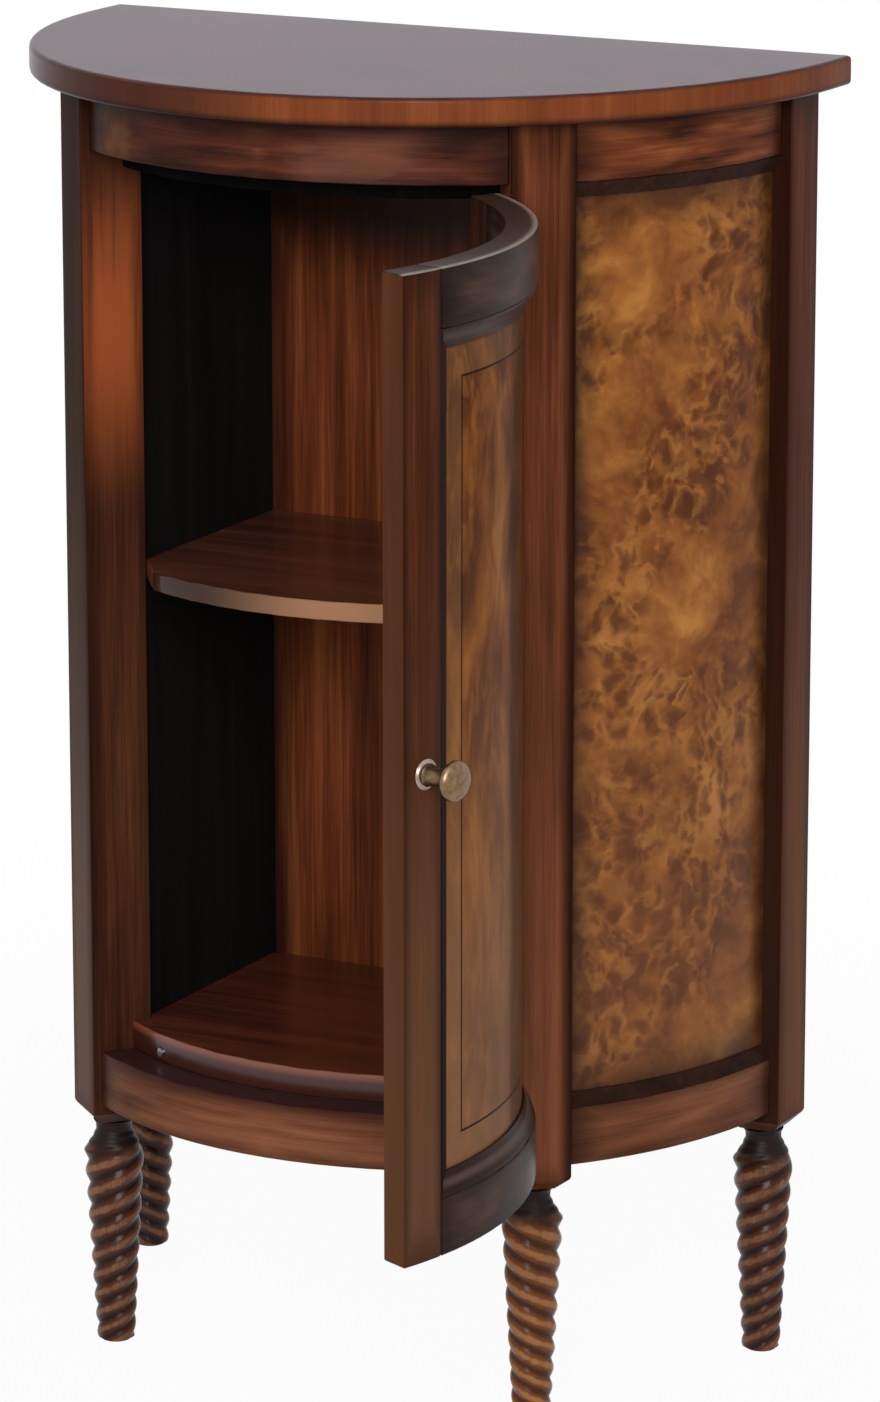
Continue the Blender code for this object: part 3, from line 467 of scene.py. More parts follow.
def back_post_look(name, side):
    """A back post: a pale painted sheen towards the bottom, and painted shade on its front face."""
    look = Look(name, roughness=0.33, specular=0.02)
    centre = (BACK_POST[0] * side, BACK_POST[1])
    colour, height, glaze_and_shade, _, local_y, z = post_wood(look, centre, 0.0, BACK_POST_WOOD, 0.4)
    # Painted sheen: paler towards the bottom
    colour = look.mix(look.painted_sheen(z, 0.35), colour, PALE_SHEEN)
    front = look.on_face(look.times(local_y, -1.0), HALF_POST)
    # Painted shade on the front face
    glaze_and_shade = look.most(glaze_and_shade, look.times(front, 0.85))
    return look.finish(look.mix(glaze_and_shade, colour, GLAZE_AND_SHADE), height)


def frieze_figure(look, colour, place):
    """What only the front frieze rail has: painted shade over its left part, a golden patch in it and a pale
    flame, partly figure and partly painted sheen.
    """
    x, _, _ = look.split(place)
    # Painted shade over the left part of the rail
    colour = look.tint(colour, look.step(x, *FRIEZE_SHADE), 0.35, GLAZE_AND_SHADE)
    golden = look.times(look.near(x, *GOLDEN_PATCH), look.noise(place, 45.0, 3.0, 0.5, 0.5))
    colour = look.tint(colour, look.step(golden, 0.22, 0.55), 0.5, tone(122, 76, 40))
    # A pale flame in the middle of the rail, partly figure and partly painted sheen
    drawn_out = look.vector("MULTIPLY", place, (16.0, 16.0, 70.0))
    flame_and_sheen = look.times(look.near(x, *PALE_FLAME_AND_SHEEN), look.noise(drawn_out, 1.0, 3.0, 0.5, 0.8))
    return look.tint(colour, look.step(flame_and_sheen, 0.18, 0.52), 0.35, tone(138, 88, 68))


def rail_look(
    name, curve, woods, span, ends, on_door=False, curl=9.0,
    head_glaze_and_shadow=EDGE_GLAZE, head_glaze_and_shadow_share=0.5, dark_top=0.0, figure=None,
):
    """A curved rail with dark glaze all round, widened at its head into painted shadow under the top on the
    friezes; the span is its two heights, and the ends are turns.
    """
    look = Look(name, roughness=0.33, specular=0.05)
    place = look.shut_place() if on_door else look.place
    low, high = span
    radius = curve[-1]
    along, out, z = bent(look, place, *curve)
    along = look.calc("ABSOLUTE", along)
    colour, height = figured_wood(look, (out, z), along, *woods, curl)
    if figure:
        colour = figure(look, colour, place)
    glaze_and_shade = look.most(
        look.times(look.most(*(look.near(along, end * radius, END_GLAZE) for end in ends)), 0.7),
        look.times(look.near(z, low, EDGE_GLAZE), 0.5),
        # Along the head: glaze, on the friezes widened into painted shadow under the top
        look.times(look.near(z, high, head_glaze_and_shadow), head_glaze_and_shadow_share),
    )
    colour = look.mix(glaze_and_shade, colour, GLAZE_AND_SHADE)
    if dark_top:
        colour = look.tint(colour, look.on_face(z, high, 0.0007), dark_top, tone(55, 30, 28))
    if on_door:
        colour = door_end(look, colour, out, z)
    return look.finish(colour, height)


def door_end(look, colour, out, z):
    """The door's top end: painted shade over it, with a painted highlight along its front rim."""
    # A painted highlight along the front rim, and painted shade over the rest of the top end
    rim = look.near(out, FRONT_RADIUS - DOOR_HIGHLIGHT_INSET, DOOR_HIGHLIGHT_WIDTH)
    lit_and_shaded_end = look.mix(rim, tone(58, 42, 36), tone(150, 136, 124))
    return look.mix(look.on_face(z, DOOR_HIGH, full=0.0003), colour, lit_and_shaded_end)


def stile_look(name, edges):
    """A stile of the door; edges are the turns of its two long edges. The edge at the lock is paler."""
    look = Look(name, roughness=0.33, specular=0.03)
    place = look.shut_place()
    x, y, z = look.split(place)
    along, out, _ = bent(look, place, *FRONT_CURVE)
    colour, height = wood(look, (x, y), z, *DOOR_WOOD)
    # Painted sheen: paler towards the bottom
    colour = look.mix(look.painted_sheen(z, 0.38), colour, PALE_SHEEN)
    rims = look.most(*(look.near(along, edge * FRONT_RADIUS, EDGE_GLAZE) for edge in edges))
    ends = look.most(look.near(z, DOOR_LOW, END_GLAZE), look.near(z, DOOR_HIGH, END_GLAZE))
    glaze_and_shade = look.most(look.times(rims, 0.6), look.times(ends, 0.5))
    colour = look.mix(glaze_and_shade, colour, GLAZE_AND_SHADE)
    post = (-FRONT_POST[0], FRONT_POST[1], 0.0)
    across, _, _ = look.split(look.vector("SUBTRACT", look.turned(place, post, POST_TURN), post))
    lock_edge = HALF_POST + DOOR_GAP
    edge = look.step(across, lock_edge + 0.0006, lock_edge + 0.0003)
    colour = look.tint(colour, edge, 0.16, tone(150, 84, 44))
    return look.finish(door_end(look, colour, out, z), height)


def dark_wood_look(name, woods, roughness, specular, lengthways=False):
    """Plain dark wood, with its grain upright or from side to side."""
    look = Look(name, roughness=roughness, specular=specular)
    x, y, z = look.split(look.place)
    widths, length = ((y, z), x) if lengthways else ((x, y), z)
    colour, height = wood(look, widths, length, *woods)
    return look.finish(colour, height)


def back_look():
    """The back: painted shade on its inside, high up under the ceiling and along the inner walls."""
    look = Look("back_wood", roughness=0.42, specular=0.1)
    x, y, z = look.split(look.place)
    colour, height = wood(look, (x, y), z, *BACK_WOOD)
    low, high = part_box("back_panel")
    middle = (low.y + high.y) / 2
    inside = look.step(y, middle + SOFT_EDGE, middle - SOFT_EDGE)
    # Painted shade high up under the ceiling and beside the inner walls
    dark = look.most(
        look.times(look.step(z, *BACK_SHADE_HEIGHTS), 0.93),
        look.times(look.step(look.calc("ABSOLUTE", x), *BACK_SHADE_REACH), 0.92),
    )
    return look.finish(look.tint(colour, inside, dark, GLAZE_AND_SHADE), height)


def moulding_look(name, piece, highlight_share):
    """A dark moulding that runs across, with a painted highlight along its middle."""
    look = Look(name, roughness=0.3, specular=0.05)
    x, y, z = look.split(look.place)
    colour, height = wood(look, (y, z), x, *MOULDING_WOOD)
    low, high = heights(piece)
    # A painted highlight along the middle
    line = look.near(z, (low + high) / 2, (high - low) * 0.26)
    return look.finish(look.tint(colour, line, highlight_share, tone(104, 84, 76)), height)


def eyes(look, warped, scale, stretch, clusters, radius):
    """Dark eyes of burl, each an irregular spot, in clusters."""
    shape = look.vector("MULTIPLY", warped, (1.0, stretch, 1.0))
    cell = look.cells(shape, scale)
    kept = look.step(look.split(cell["Color"])[0], 0.18, 0.32)
    spot = look.step(cell["Distance"], radius, radius * 0.2)
    return look.times(spot, kept, clusters)


def warp(look, vector, scale, reach):
    """A shift of the pattern to and fro, by up to about half the reach."""
    drift = look.vector("SUBTRACT", look.noise(vector, scale, output="Color"), (0.5, 0.5, 0.5))
    return look.vector("MULTIPLY", drift, (reach, reach, reach))


def burl(look, flat, tones, stretch, eye_share):
    """Burl veneer on a flat vector (along, height): clouds, mottling and clusters of dark eyes."""
    x, y, z = look.split(flat)
    vector = look.join(x, look.calc("DIVIDE", y, stretch), z)
    warped = look.vector("ADD", vector, warp(look, vector, 13.0, 0.045))
    clouds = look.noise(warped, 9.0, 3.0)
    mottling = look.noise(warped, 36.0, 3.0, distortion=0.3)
    speckle = look.noise(warped, 160.0)
    share = look.blend((clouds, 0.50), (mottling, 0.38), (speckle, 0.12))
    colour = look.ramp(share, *zip((0.38, 0.46, 0.54, 0.64), tones))
    ragged = look.vector("ADD", warped, warp(look, vector, 70.0, 0.018))
    clusters = look.step(look.noise(vector, 10.0), 0.39, 0.52)
    veins = look.step(look.noise(ragged, 75.0), 0.50, 0.62)
    colour = look.mix(look.times(veins, clusters, 0.38), colour, tones[-1])
    large = eyes(look, ragged, 60.0, 0.66, clusters, 0.50)
    small = eyes(look, ragged, 110.0, 0.74, clusters, 0.52)
    spots = look.most(large, look.times(small, 0.75))
    colour = look.tint(colour, spots, eye_share, tone(78, 38, 16))
    return colour, look.calc("ADD", mottling, speckle)


def side_panel_look(name, side):
    """A burl panel of a side: a pale painted sheen towards the bottom, dark along its four edges."""
    look = Look(name, roughness=0.30, specular=0.08)
    along, _, z = bent(look, look.place, *SIDE_CURVE)
    along = look.times(along, side)
    flat = look.join(along, z, SIDE_SLICE * side)
    colour, height = burl(look, flat, SIDE_BURL, stretch=1.0, eye_share=0.85)
    # Painted sheen: paler towards the bottom
    colour = look.mix(look.painted_sheen(z, 0.3), colour, tone(118, 82, 60))
    mask = look.most(
        look.near(along, SIDE_START * SIDE_RADIUS, PANEL_SIDE_GLAZE),
        look.near(along, SIDE_END * SIDE_RADIUS, PANEL_SIDE_GLAZE),
        look.near(z, BASE_RAIL_TOP, PANEL_FOOT_GLAZE),
        look.near(z, FRIEZE_LOW, PANEL_HEAD_GLAZE),
    )
    patchy = look.times(mask, look.calc("ADD", 0.45, look.noise(look.place, 30.0, 3.0)))
    return look.finish(look.tint(colour, patchy, 0.85, tone(46, 28, 18)), height, 0.05)


def door_panel_look():
    """The door's burl panel; its outer face has a pale band with an inlay line, and shade at one side."""
    look = Look("door_burl", roughness=0.30, specular=0.015)
    along, out, z = bent(look, look.shut_place(), *FRONT_CURVE)
    flat = look.join(along, z, DOOR_SLICE)
    colour, height = burl(look, flat, DOOR_BURL, stretch=2.6, eye_share=0.5)
    # Painted sheen: paler towards the bottom
    colour = look.mix(look.painted_sheen(z, 0.5), colour, tone(150, 110, 82))
    side_reach = look.calc("SUBTRACT", STILE_TURN * FRONT_RADIUS, look.calc("ABSOLUTE", along))
    middle = (PANEL_LOW + PANEL_HIGH) / 2
    half_height = (PANEL_HIGH - PANEL_LOW) / 2
    end_reach = look.calc("SUBTRACT", half_height, look.calc("ABSOLUTE", look.calc("SUBTRACT", z, middle)))
    reach = look.calc("MINIMUM", side_reach, end_reach)
    panel_middle = FRONT_RADIUS - PANEL_MIDDLE_DEPTH
    outer = look.step(out, panel_middle - SOFT_EDGE, panel_middle + SOFT_EDGE)
    band = look.times(look.step(reach, INLAY_INSET + SOFT_EDGE, INLAY_INSET - SOFT_EDGE), outer)
    colour = look.tint(colour, band, 0.25, tone(128, 96, 68))
    distance = look.calc("ABSOLUTE", look.calc("SUBTRACT", reach, INLAY_INSET))
    line = look.step(distance, INLAY_WIDTH * 1.6, INLAY_WIDTH * 0.6)
    colour = look.tint(colour, line, outer, tone(40, 18, 8))
    shade = look.times(look.step(along, *DOOR_PANEL_SHADE), outer)
    colour = look.tint(colour, shade, 0.55, tone(46, 24, 16))
    return look.finish(colour, height, 0.05)


def top_look():
    """The top board: brown from above and violet at a low angle, with a red-brown edge under painted shade
    towards the left and along its foot.
    """
    look = Look("polished_top", roughness=0.24, specular=0.05)
    look.shader.inputs["Sheen Weight"].default_value = 0.06
    look.shader.inputs["Sheen Roughness"].default_value = 0.3
    look.shader.inputs["Sheen Tint"].default_value = (0.45, 0.25, 1.0, 1.0)
    x, y, z = look.split(look.place)
    mottles = look.noise(look.vector("MULTIPLY", look.place, (9.0, 16.0, 9.0)), 1.0, 4.0, 0.55, 0.6)
    streaks = grain_noise(look, (y, z), x, 190.0, 7.0, 3.0, 0.6)
    share = look.blend((mottles, 0.66), (streaks, 0.34))
    surface = look.ramp(share, *zip((0.36, 0.50, 0.64), TOP_WOOD))
    along, out, _ = bent(look, look.place, *SIDE_CURVE)
    edge, height = wood(look, (along, out), z, *TOP_EDGE_WOOD)
    # Painted shade over the left part of the edge, darkest at its left end
    edge = look.tint(edge, look.step(x, *TOP_EDGE_SHADE), 0.85, tone(58, 30, 23))
    edge = look.tint(edge, look.step(x, *TOP_EDGE_END_SHADE), 0.8, tone(30, 24, 21))
    # Painted shade along the foot of the edge, under the top; glaze along its upper rim
    rims = look.most(
        look.times(look.step(z, TOP_UNDERSIDE + TOP_FOOT_SHADE, TOP_UNDERSIDE), 0.85),
        look.times(look.near(z, TOTAL_HEIGHT, TOP_RIM_GLAZE), 0.4),
    )
    edge = look.mix(rims, edge, GLAZE_AND_SHADE)
    upper = look.on_face(z, TOTAL_HEIGHT, 0.0022, 0.0004)
    return look.finish(look.mix(upper, edge, surface), height, 0.05)


def floor_edge(look):
    """The floor board's front edge, with a painted highlight on its rounding."""
    _, _, z = look.split(look.place)
    # A painted highlight on the upper rounding
    lit_rounding = look.on_face(z, FLOOR_TOP, 0.007, 0.001)
    return look.mix(lit_rounding, tone(62, 29, 19), tone(126, 70, 50))


def shelf_edge(look):
    """The shelf's pale front edge, which lies in shade towards the left."""
    x, _, _ = look.split(look.place)
    return look.tint(tone(162, 116, 84), look.step(x, *SHELF_SHADE), 0.93, tone(34, 18, 12))


def board_look(name, woods, specular, front_edge):
    """The shelf and the floor board: grain from side to side, and a front edge of another colour."""
    look = Look(name, roughness=0.22, specular=specular)
    x, y, z = look.split(look.place)
    colour, height = wood(look, (y, z), x, *woods)
    _, out, _ = bent(look, look.place, *FRONT_CURVE)
    front = look.on_face(out, FRONT_RADIUS - BOARD_INSET, 0.0014, 0.0008)
    return look.finish(look.mix(front, colour, front_edge(look)), height, 0.08)


def leg_look():
    """Light worn strands, dark hollows, a nearly black neck; painted light makes the front right leg the
    lightest.
    """
    look = Look("carved_leg", specular=0.12)
    x, y, z = look.split(look.place)
    colour, height = wood(look, (x, y), z, *LEG_WOOD)
    # Painted light: the front right leg is lighter, its hollows too
    light = look.times(look.step(x, *LIT_LEG_X), look.step(y, *LIT_LEG_Y))
    colour = look.tint(colour, light, 0.7, tone(172, 118, 70))
    carved = look.new("ShaderNodeAttribute", attribute_name="carved_depth").outputs["Fac"]
    wear = look.calc("SUBTRACT", look.noise(look.place, 180.0, 3.0), 0.5)
    worn = look.calc("MULTIPLY_ADD", wear, 0.5, carved)
    hollow = look.mix(light, tone(72, 37, 24), tone(112, 62, 30))
    colour = look.mix(look.step(worn, 0.0, 0.27), colour, hollow)
    bottom = look.mix(light, tone(38, 19, 12), tone(72, 38, 18))
    colour = look.mix(look.step(worn, 0.35, 0.85), colour, bottom)
    neck = look.step(z, *LEG_NECK)
    colour = look.mix(neck, colour, tone(32, 22, 19))
    return look.finish(colour, height, roughness=look.calc("MULTIPLY_ADD", neck, 0.2, 0.22))


def metal_look(name, bright, dull, roughness):
    """Metal with duller, rougher patches and fine scratches."""
    look = Look(name, specular=0.5, metallic=1.0)
    patches = look.noise(look.place, 260.0, 4.0, 0.6)
    colour = look.ramp(patches, (0.35, dull), (0.62, bright))
    scratches = look.noise(look.vector("MULTIPLY", look.place, (1400.0, 1400.0, 300.0)), 1.0, 3.0, 0.6)
    rough = look.calc("MULTIPLY_ADD", patches, 0.25, roughness - 0.08)
    return look.finish(colour, scratches, 0.05, 0.0002, rough)


def refine(piece):
    """Gives a CAD piece smooth shading with soft edges, its vertices left as they are."""
    mesh = piece.data
    if "custom_normal" in mesh.attributes:
        mesh.attributes.remove(mesh.attributes["custom_normal"])
    mesh.shade_smooth()
    weld = piece.modifiers.new("weld", "WELD")
    weld.merge_threshold = WELD_REACH
    sharp = piece.modifiers.new("sharp edges", "EDGE_SPLIT")
    sharp.split_angle = SHARP_ANGLE
    normals = piece.modifiers.new("weighted normals", "WEIGHTED_NORMAL")
    normals.keep_sharp = True


def dress(material, *names):
    """Gives CAD pieces a material and soft edges."""
    for name in names:
        piece = nodes[name]
        piece.data.materials.clear()
        piece.data.materials.append(material)
        refine(piece)


def new_piece(name, shape, material, body, stands_for=()):
    """Makes an object of a shape, on its body, in place of the CAD pieces that it stands for."""
    mesh = bpy.data.meshes.new(name)
    shape.to_mesh(mesh)
    shape.free()
    mesh.materials.append(material)
    mesh.shade_smooth()
    mesh.set_sharp_from_angle(angle=SHARP_ANGLE)
    piece = bpy.data.objects.new(name, mesh)
    bpy.context.scene.collection.objects.link(piece)
    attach(piece, body)
    if stands_for:
        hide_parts(*stands_for)


def through(knots, value):
    """A smooth line through the knots, level at each of them."""
    for (low, first), (high, second) in zip(knots, knots[1:]):
        if value <= high:
            share = (value - low) / (high - low)
            return first + (second - first) * share * share * (3 - 2 * share)
    return knots[-1][1]


def around(radius, angle, height):
    """A point so far out from an upright axis, at an angle and a height."""
    return Vector((radius * math.cos(angle), radius * math.sin(angle), height))


def leg_radius(height):
    """How thick a leg is at a height, to the crests of its strands."""
    if height <= TWIST_TOP:
        return FOOT_RADIUS + (SHOULDER_RADIUS - FOOT_RADIUS) * height / TWIST_TOP
    return through(SHOULDER, height)


def leg_twist(height):
    """How far the strands have turned at a height; their lead grows evenly from the foot to the shoulder."""
    growth = (LEAD_AT_SHOULDER - LEAD_AT_FOOT) / TWIST_TOP
    return math.tau / growth * math.log(1.0 + growth * height / LEAD_AT_FOOT)


def carved_leg(name, centre, hand, material):
    """A leg carved as a rope that fades out in the shoulder; the hand is the way its strands turn."""
    shape = bmesh.new()
    depth_layer = shape.verts.layers.float.new("carved_depth")
    foot = Vector((*centre, 0.0))
    top = SHOULDER[-1][0]
    room = top - TWIST_TOP
    rings = []
    for ring in range(LEG_RINGS + 1):
        height = top * ring / LEG_RINGS
        beyond = max(0.0, height - TWIST_TOP)
        twist = hand * leg_twist(min(height, TWIST_TOP) + beyond - beyond * beyond / (2 * room))
        fade = 1.0 - min(1.0, beyond / room) ** SHOULDER_FADE
        radius = leg_radius(height)
        verts = []
        for side in range(LEG_SIDES):
            angle = math.tau * side / LEG_SIDES
            cut = fade * (1.0 - abs(math.sin(angle * STARTS / 2)) ** STRAND_ROUNDNESS)
            reach = radius - GROOVE * radius / SHOULDER_RADIUS * cut
            vert = shape.verts.new(foot + around(reach, angle + twist, height))
            vert[depth_layer] = cut
            verts.append(vert)
        rings.append(verts)
    for lower, upper in zip(rings, rings[1:]):
        for side in range(LEG_SIDES):
            after = (side + 1) % LEG_SIDES
            shape.faces.new((lower[side], lower[after], upper[after], upper[side]))
    shape.faces.new(reversed(rings[0]))
    shape.faces.new(rings[-1])
    new_piece("carved_" + name, shape, material, "carcass", (name,))


def between(before, start, end, after, share):
    """A value from start to end on a smooth curve that also goes through the ones before and after."""
    slope = end - before
    bend = 2 * before - 5 * start + 4 * end - after
    turn = 3 * start - before - 3 * end + after
    return 0.5 * (2 * start + slope * share + bend * share ** 2 + turn * share ** 3)


def smooth_outline(outline):
    """Points on a smooth curve through the corners of an outline."""
    points = []
    for index in range(len(outline) - 1):
        before = outline[max(index - 1, 0)]
        start, end = outline[index], outline[index + 1]
        after = outline[min(index + 2, len(outline) - 1)]
        for step in range(TURNED_STEPS):
            share = step / TURNED_STEPS
            points.append(tuple(between(*values, share) for values in zip(before, start, end, after)))
    return [*points, outline[-1]]


def on_open_door(turn, out):
    """A place at the knob's height, so far out from the front of the open door, and the way that it faces."""
    facing = Vector((math.sin(turn), -math.cos(turn), 0.0))
    shut = Vector((0.0, FRONT_CENTRE_Y, KNOB_HEIGHT)) + facing * (FRONT_RADIUS + out)
    opened = Matrix.Rotation(DOOR_OPEN, 3, "Z")
    hinge = Vector(HINGE)
    return hinge + opened @ (shut - hinge), opened @ facing


def turned_piece(name, outline, stand, material, stands_for):
    """A turned piece of the knob; the outline runs from the axis at its face to its foot."""
    shape = bmesh.new()
    place, outward = on_open_door(KNOB_TURN, stand)
    matrix = Matrix.Translation(place) @ outward.to_track_quat("Z", "Y").to_matrix().to_4x4()
    points = smooth_outline(outline)
    top = shape.verts.new(matrix @ Vector((0.0, 0.0, points[0][1])))
    foot = shape.verts.new(matrix @ Vector((0.0, 0.0, points[-1][1])))
    angles = [math.tau * side / TURNED_SIDES for side in range(TURNED_SIDES)]
    rings = [
        [shape.verts.new(matrix @ around(radius, angle, height)) for angle in angles]
        for radius, height in points if radius >= AXIS_REACH
    ]
    for side in range(TURNED_SIDES):
        after = (side + 1) % TURNED_SIDES
        shape.faces.new((top, rings[0][side], rings[0][after]))
        shape.faces.new((foot, rings[-1][after], rings[-1][side]))
        for first, second in zip(rings, rings[1:]):
            shape.faces.new((first[side], second[side], second[after], first[after]))
    bmesh.ops.recalc_face_normals(shape, faces=shape.faces)
    new_piece(name, shape, material, "door", (stands_for,))


def build_legs():
    material = leg_look()
    for side_name, side in SIDES:
        for row_name, post, hand in (("front", FRONT_POST, -side), ("back", BACK_POST, side)):
            carved_leg(f"leg_{row_name}_{side_name}", (post[0] * side, post[1]), hand, material)


def build_knob():
    brass = metal_look("aged_brass", tone(138, 115, 88), tone(113, 90, 66), 0.32)
    nickel = metal_look("antique_nickel", tone(178, 158, 148), tone(146, 127, 116), 0.32)
    knob = [(KNOB_RADIUS * width, KNOB_LENGTH * rise) for width, rise in KNOB_OUTLINE]
    turned_piece("turned_knob", knob, KNOB_STAND, brass, "door_knob")
    plate = [(ROSETTE_RADIUS * width, ROSETTE_THICKNESS * rise) for width, rise in ROSETTE_OUTLINE]
    turned_piece("knob_backplate", plate, ROSETTE_STAND, nickel, "knob_rosette")


def screw_head(shape, matrix):
    """Two half discs with a slot between them."""
    for side in (-1, 1):
        rims = []
        for height, radius in ((0.0, SCREW_RADIUS), (SCREW_HEIGHT, SCREW_RADIUS * SCREW_TOP_SHARE)):
            start = math.asin(SCREW_SLOT / 2 / radius)
            turns = [start + (math.pi - 2 * start) * step / SCREW_STEPS for step in range(SCREW_STEPS + 1)]
            rims.append([shape.verts.new(matrix @ around(radius, side * turn, height)) for turn in turns])
        for index in range(len(rims[0])):
            after = (index + 1) % len(rims[0])
            shape.faces.new((rims[0][index], rims[0][after], rims[1][after], rims[1][index]))
        shape.faces.new(rims[1])
        shape.faces.new(rims[0])


def build_screws(brass):
    """Three slotted screws in each hinge leaf."""
    post_side = POST_TURN + math.radians(90)
    for body, side, angle, reach in (
        ("carcass", -1, post_side, POST_LEAF_REACH),
        ("door", 1, post_side + DOOR_OPEN, DOOR_LEAF_REACH),
    ):
        facing = Matrix.Rotation(math.radians(90 * side), 4, "X")
        for name in ("lower", "upper"):
            low, high = heights(f"hinge_{name}_post_leaf")
            shape = bmesh.new()
            hinge = Matrix.Translation((HINGE[0], HINGE[1], low)) @ Matrix.Rotation(angle, 4, "Z")
            for share in SCREW_SHARES:
                shift = SCREW_MIDDLE_SHIFT if share == 0.5 else SCREW_END_SHIFT
                place = Vector((reach + shift, side * LEAF_FACE, (high - low) * share))
                screw_head(shape, hinge @ Matrix.Translation(place) @ facing)
            bmesh.ops.recalc_face_normals(shape, faces=shape.faces)
            new_piece(f"hinge_screws_{name}_{body}", shape, brass, body)


def dress_posts():
    left = front_post_look(
        "post_wood_front_left", -1, SHADED_WOOD,
        edge_share=0.45, sheen_share=0.7, sheen_tone=tone(116, 92, 80), upper_dark_share=0.5, light_pool_share=0.9,
    )
    right = front_post_look(
        "post_wood_front_right", 1, MAHOGANY,
        edge_share=0.9, sheen_share=0.25, sheen_tone=PALE_SHEEN, upper_dark_share=0.0, light_pool_share=0.0,
    )
    dress(left, "post_front_left")
    dress(right, "post_front_right")
    for side_name, side in SIDES:
        dress(back_post_look(f"post_wood_back_{side_name}", side), f"post_back_{side_name}")


def dress_rails():
    frieze = (FRIEZE_LOW, TOP_UNDERSIDE)
    base = (BASE_RAIL_LOW, BASE_RAIL_TOP)
    front_ends = (FRONT_END,)
    side_ends = (SIDE_END, SIDE_START)
    # The friezes carry painted shadow under the top along their heads
    front_frieze = rail_look(
        "frieze_wood", FRONT_CURVE, FRIEZE_WOOD, frieze, front_ends,
        head_glaze_and_shadow=0.022, head_glaze_and_shadow_share=0.9, figure=frieze_figure,
    )
    side_frieze = rail_look(
        "side_frieze_wood", SIDE_CURVE, SIDE_FRIEZE_WOOD, frieze, side_ends,
        head_glaze_and_shadow=0.015, head_glaze_and_shadow_share=0.85,
    )
    front_base = rail_look("base_wood", FRONT_CURVE, BASE_WOOD, base, front_ends, curl=5.0, dark_top=0.9)
    side_base = rail_look("side_base_wood", SIDE_CURVE, BASE_WOOD, base, side_ends, curl=5.0)
    dress(front_frieze, "frieze_rail_front")
    dress(side_frieze, "frieze_rail_left", "frieze_rail_right")
    dress(front_base, "base_rail_front")
    dress(side_base, "base_rail_left", "base_rail_right")


def dress_door():
    for place, end, span in (
        ("low", "bottom", (DOOR_LOW, PANEL_LOW)),
        ("high", "top", (PANEL_HIGH, DOOR_HIGH)),
    ):
        rail = rail_look(
            f"door_wood_{place}", FRONT_CURVE, DOOR_RAIL_WOOD, span, (STILE_TURN,), on_door=True
        )
        dress(rail, f"door_rail_{end}")
    dress(stile_look("hinge_stile_wood", (STILE_TURN, DOOR_EDGE_TURN)), "door_stile_hinge")
    dress(stile_look("lock_stile_wood", (-STILE_TURN, -DOOR_EDGE_TURN)), "door_stile_lock")
    dress(door_panel_look(), "door_panel")


def dress_mouldings():
    upright = dark_wood_look("moulding_wood", MOULDING_WOOD, roughness=0.5, specular=0.01)
    dress(upright, "door_moulding_hinge", "door_moulding_lock")
    for end, highlight_share in (("top", 0.2), ("bottom", 0.5)):
        door = moulding_look(f"door_moulding_wood_{end}", f"door_moulding_{end}", highlight_share)
        dress(door, f"door_moulding_{end}")
        side = dark_wood_look(
            f"side_moulding_wood_{end}", MOULDING_WOOD, roughness=0.4, specular=0.03, lengthways=True
        )
        dress(side, f"side_moulding_{end}_left", f"side_moulding_{end}_right")


def dress_boards():
    for side_name, side in SIDES:
        dress(side_panel_look(f"side_burl_{side_name}", side), f"side_panel_{side_name}")
    dress(top_look(), "top_board")
    dress(back_look(), "back_panel", "back_rail_top", "back_rail_bottom")
    # The inner walls: near black, darker than any other wood
    walls = dark_wood_look("near_black_wall", NEAR_BLACK_WALL, roughness=0.6, specular=0.1)
    dress(walls, "inner_wall_left", "inner_wall_right")
    dress(dark_wood_look("black_ceiling", BLACK_CEILING, roughness=0.7, specular=0.01), "upper_board")
    dress(board_look("floor_wood", FLOOR_WOOD, 0.5, floor_edge), "floor_board")
    dress(board_look("shelf_wood", SHELF_WOOD, 0.2, shelf_edge), "shelf")


def dress_metal():
    steel = metal_look("bright_steel", tone(214, 214, 214), tone(160, 160, 162), 0.22)
    brass = metal_look("dull_brass", tone(160, 128, 76), tone(134, 102, 58), 0.36)
    dress(steel, "catch_magnet", "catch_strike", "knob_screw")
    for side_name, _ in SIDES:
        dress(steel, f"shelf_pin_front_{side_name}", f"shelf_pin_back_{side_name}")
    for name in ("lower", "upper"):
        dress(brass, f"hinge_{name}_post_leaf", f"hinge_{name}_door_leaf", f"hinge_{name}_pin")
    build_screws(brass)


def is_background_ray(tree):
    """1 for a ray that should see the background: from the camera, a gloss or through glass."""
    path = tree.nodes.new("ShaderNodeLightPath")
    result = path.outputs["Is Camera Ray"]
    for name in ("Is Glossy Ray", "Is Transmission Ray"):
        larger = tree.nodes.new("ShaderNodeMath")
        larger.operation = "MAXIMUM"
        tree.links.new(result, larger.inputs[0])
        tree.links.new(path.outputs[name], larger.inputs[1])
        result = larger.outputs[0]
    return result


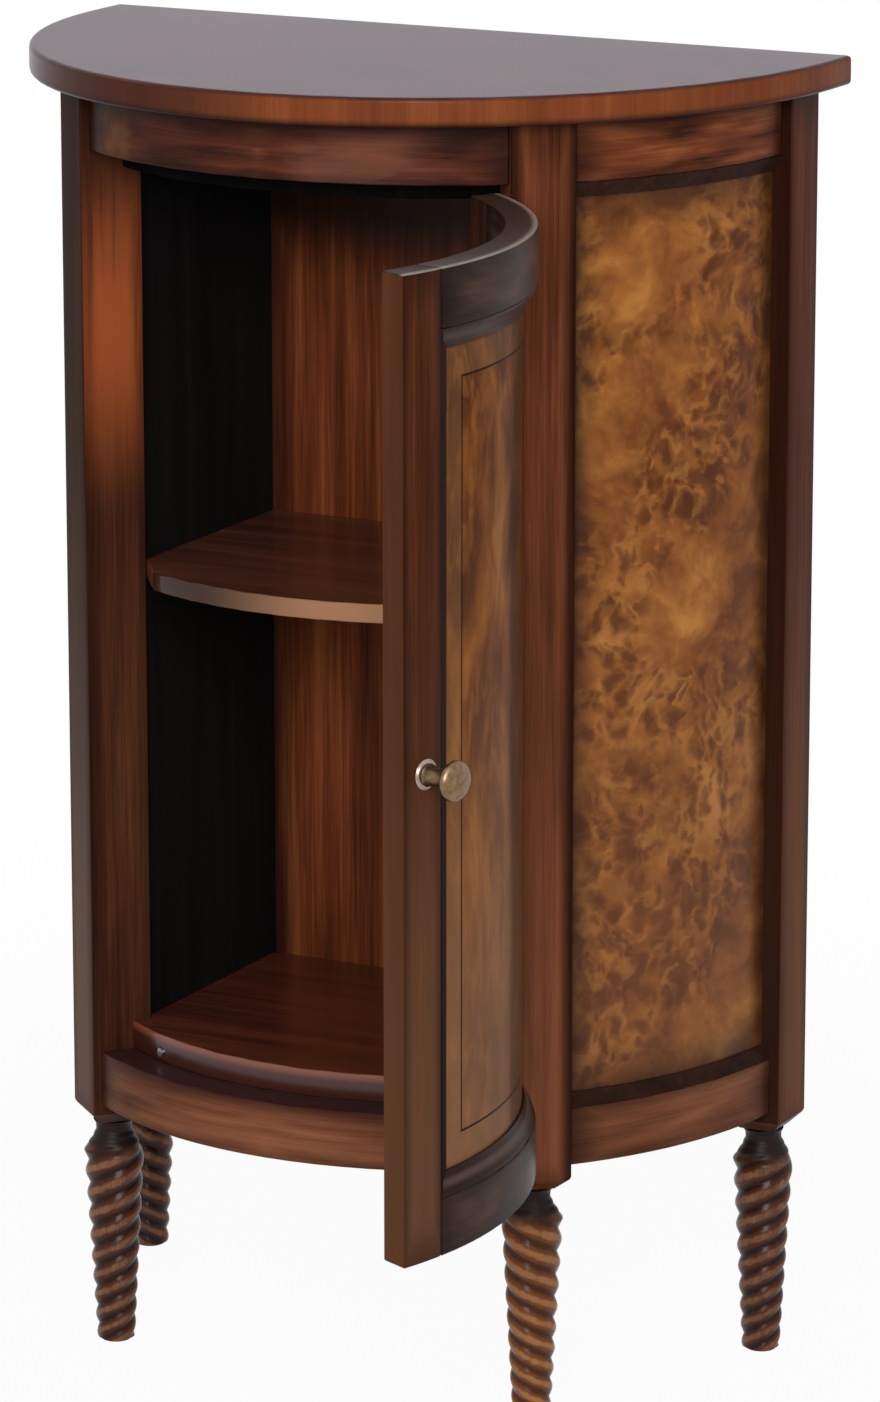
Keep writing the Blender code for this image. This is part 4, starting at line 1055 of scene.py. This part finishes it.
def build_world():
    """A soft fill from all around, and plain white where the background is seen."""
    world = bpy.data.worlds.new("studio")
    bpy.context.scene.world = world
    world.use_nodes = True
    tree = world.node_tree
    tree.nodes.clear()
    fill = tree.nodes.new("ShaderNodeBackground")
    white = tree.nodes.new("ShaderNodeBackground")
    for background, strength in ((fill, FILL_STRENGTH), (white, 1.0)):
        background.inputs["Color"].default_value = (1.0, 1.0, 1.0, 1.0)
        background.inputs["Strength"].default_value = strength
    mixed = tree.nodes.new("ShaderNodeMixShader")
    output = tree.nodes.new("ShaderNodeOutputWorld")
    tree.links.new(is_background_ray(tree), mixed.inputs[0])
    tree.links.new(fill.outputs[0], mixed.inputs[1])
    tree.links.new(white.outputs[0], mixed.inputs[2])
    tree.links.new(mixed.outputs[0], output.inputs[0])


def build_floor():
    """A pale floor that goes over into the white background away from the cabinet."""
    shape = bmesh.new()
    bmesh.ops.create_grid(shape, x_segments=1, y_segments=1, size=FLOOR_SIZE)
    mesh = bpy.data.meshes.new("floor")
    shape.to_mesh(mesh)
    shape.free()
    floor = bpy.data.objects.new("floor", mesh)
    bpy.context.scene.collection.objects.link(floor)
    look = Look("studio_floor")
    tree = look.tree
    tree.nodes.remove(look.shader)
    matt = look.new("ShaderNodeBsdfDiffuse")
    matt.inputs["Color"].default_value = (FLOOR_GREY, FLOOR_GREY, FLOOR_GREY, 1.0)
    white = look.new("ShaderNodeEmission")
    distance = look.new("ShaderNodeVectorMath", operation="LENGTH")
    look.feed(distance.inputs[0], look.place)
    far = look.step(distance.outputs["Value"], *FLOOR_WHITENS)
    share = look.calc("MULTIPLY_ADD", far, 1.0 - FLOOR_WHITE_NEAR, FLOOR_WHITE_NEAR)
    mixed = look.new("ShaderNodeMixShader")
    look.feed(mixed.inputs[0], look.times(share, is_background_ray(tree)))
    look.feed(mixed.inputs[1], matt.outputs[0])
    look.feed(mixed.inputs[2], white.outputs[0])
    look.feed(tree.nodes["Material Output"].inputs["Surface"], mixed.outputs[0])
    mesh.materials.append(look.material)


def away_from_front(azimuth, elevation):
    """A direction away from the cabinet; azimuth 0 is straight in front of it and 90 degrees at its right."""
    return Vector((
        math.sin(azimuth) * math.cos(elevation), -math.cos(azimuth) * math.cos(elevation), math.sin(elevation)
    ))


def aim(thing, place, away):
    """Puts a lamp or the camera at a place, with its back to the direction away from the cabinet."""
    bpy.context.scene.collection.objects.link(thing)
    thing.location = place
    thing.rotation_mode = "QUATERNION"
    thing.rotation_quaternion = away.to_track_quat("Z", "Y")


def build_lamp(name, azimuth, elevation, distance, size, power):
    data = bpy.data.lights.new(name, "AREA")
    data.energy = power
    data.size = size
    away = away_from_front(azimuth, elevation)
    aim(bpy.data.objects.new(name, data), Vector(LAMP_TARGET) + away * distance, away)


def build_camera():
    data = bpy.data.cameras.new("camera")
    data.lens = LENS
    away = away_from_front(AZIMUTH, ELEVATION)
    right = Vector((math.cos(AZIMUTH), math.sin(AZIMUTH), 0.0))
    target = Vector((0.0, BACK_EDGE_Y, TARGET_HEIGHT)) + right * TARGET_SIDEWAYS
    camera = bpy.data.objects.new("camera", data)
    aim(camera, target + away * DISTANCE, away)
    bpy.context.scene.camera = camera


dress_posts()
dress_rails()
dress_door()
dress_mouldings()
dress_boards()
dress_metal()
build_legs()
build_knob()
build_world()
build_floor()
build_lamp("key", math.radians(25), math.radians(24), distance=3.2, size=1.3, power=70.0)
build_camera()
bpy.context.scene.view_settings.view_transform = "Standard"
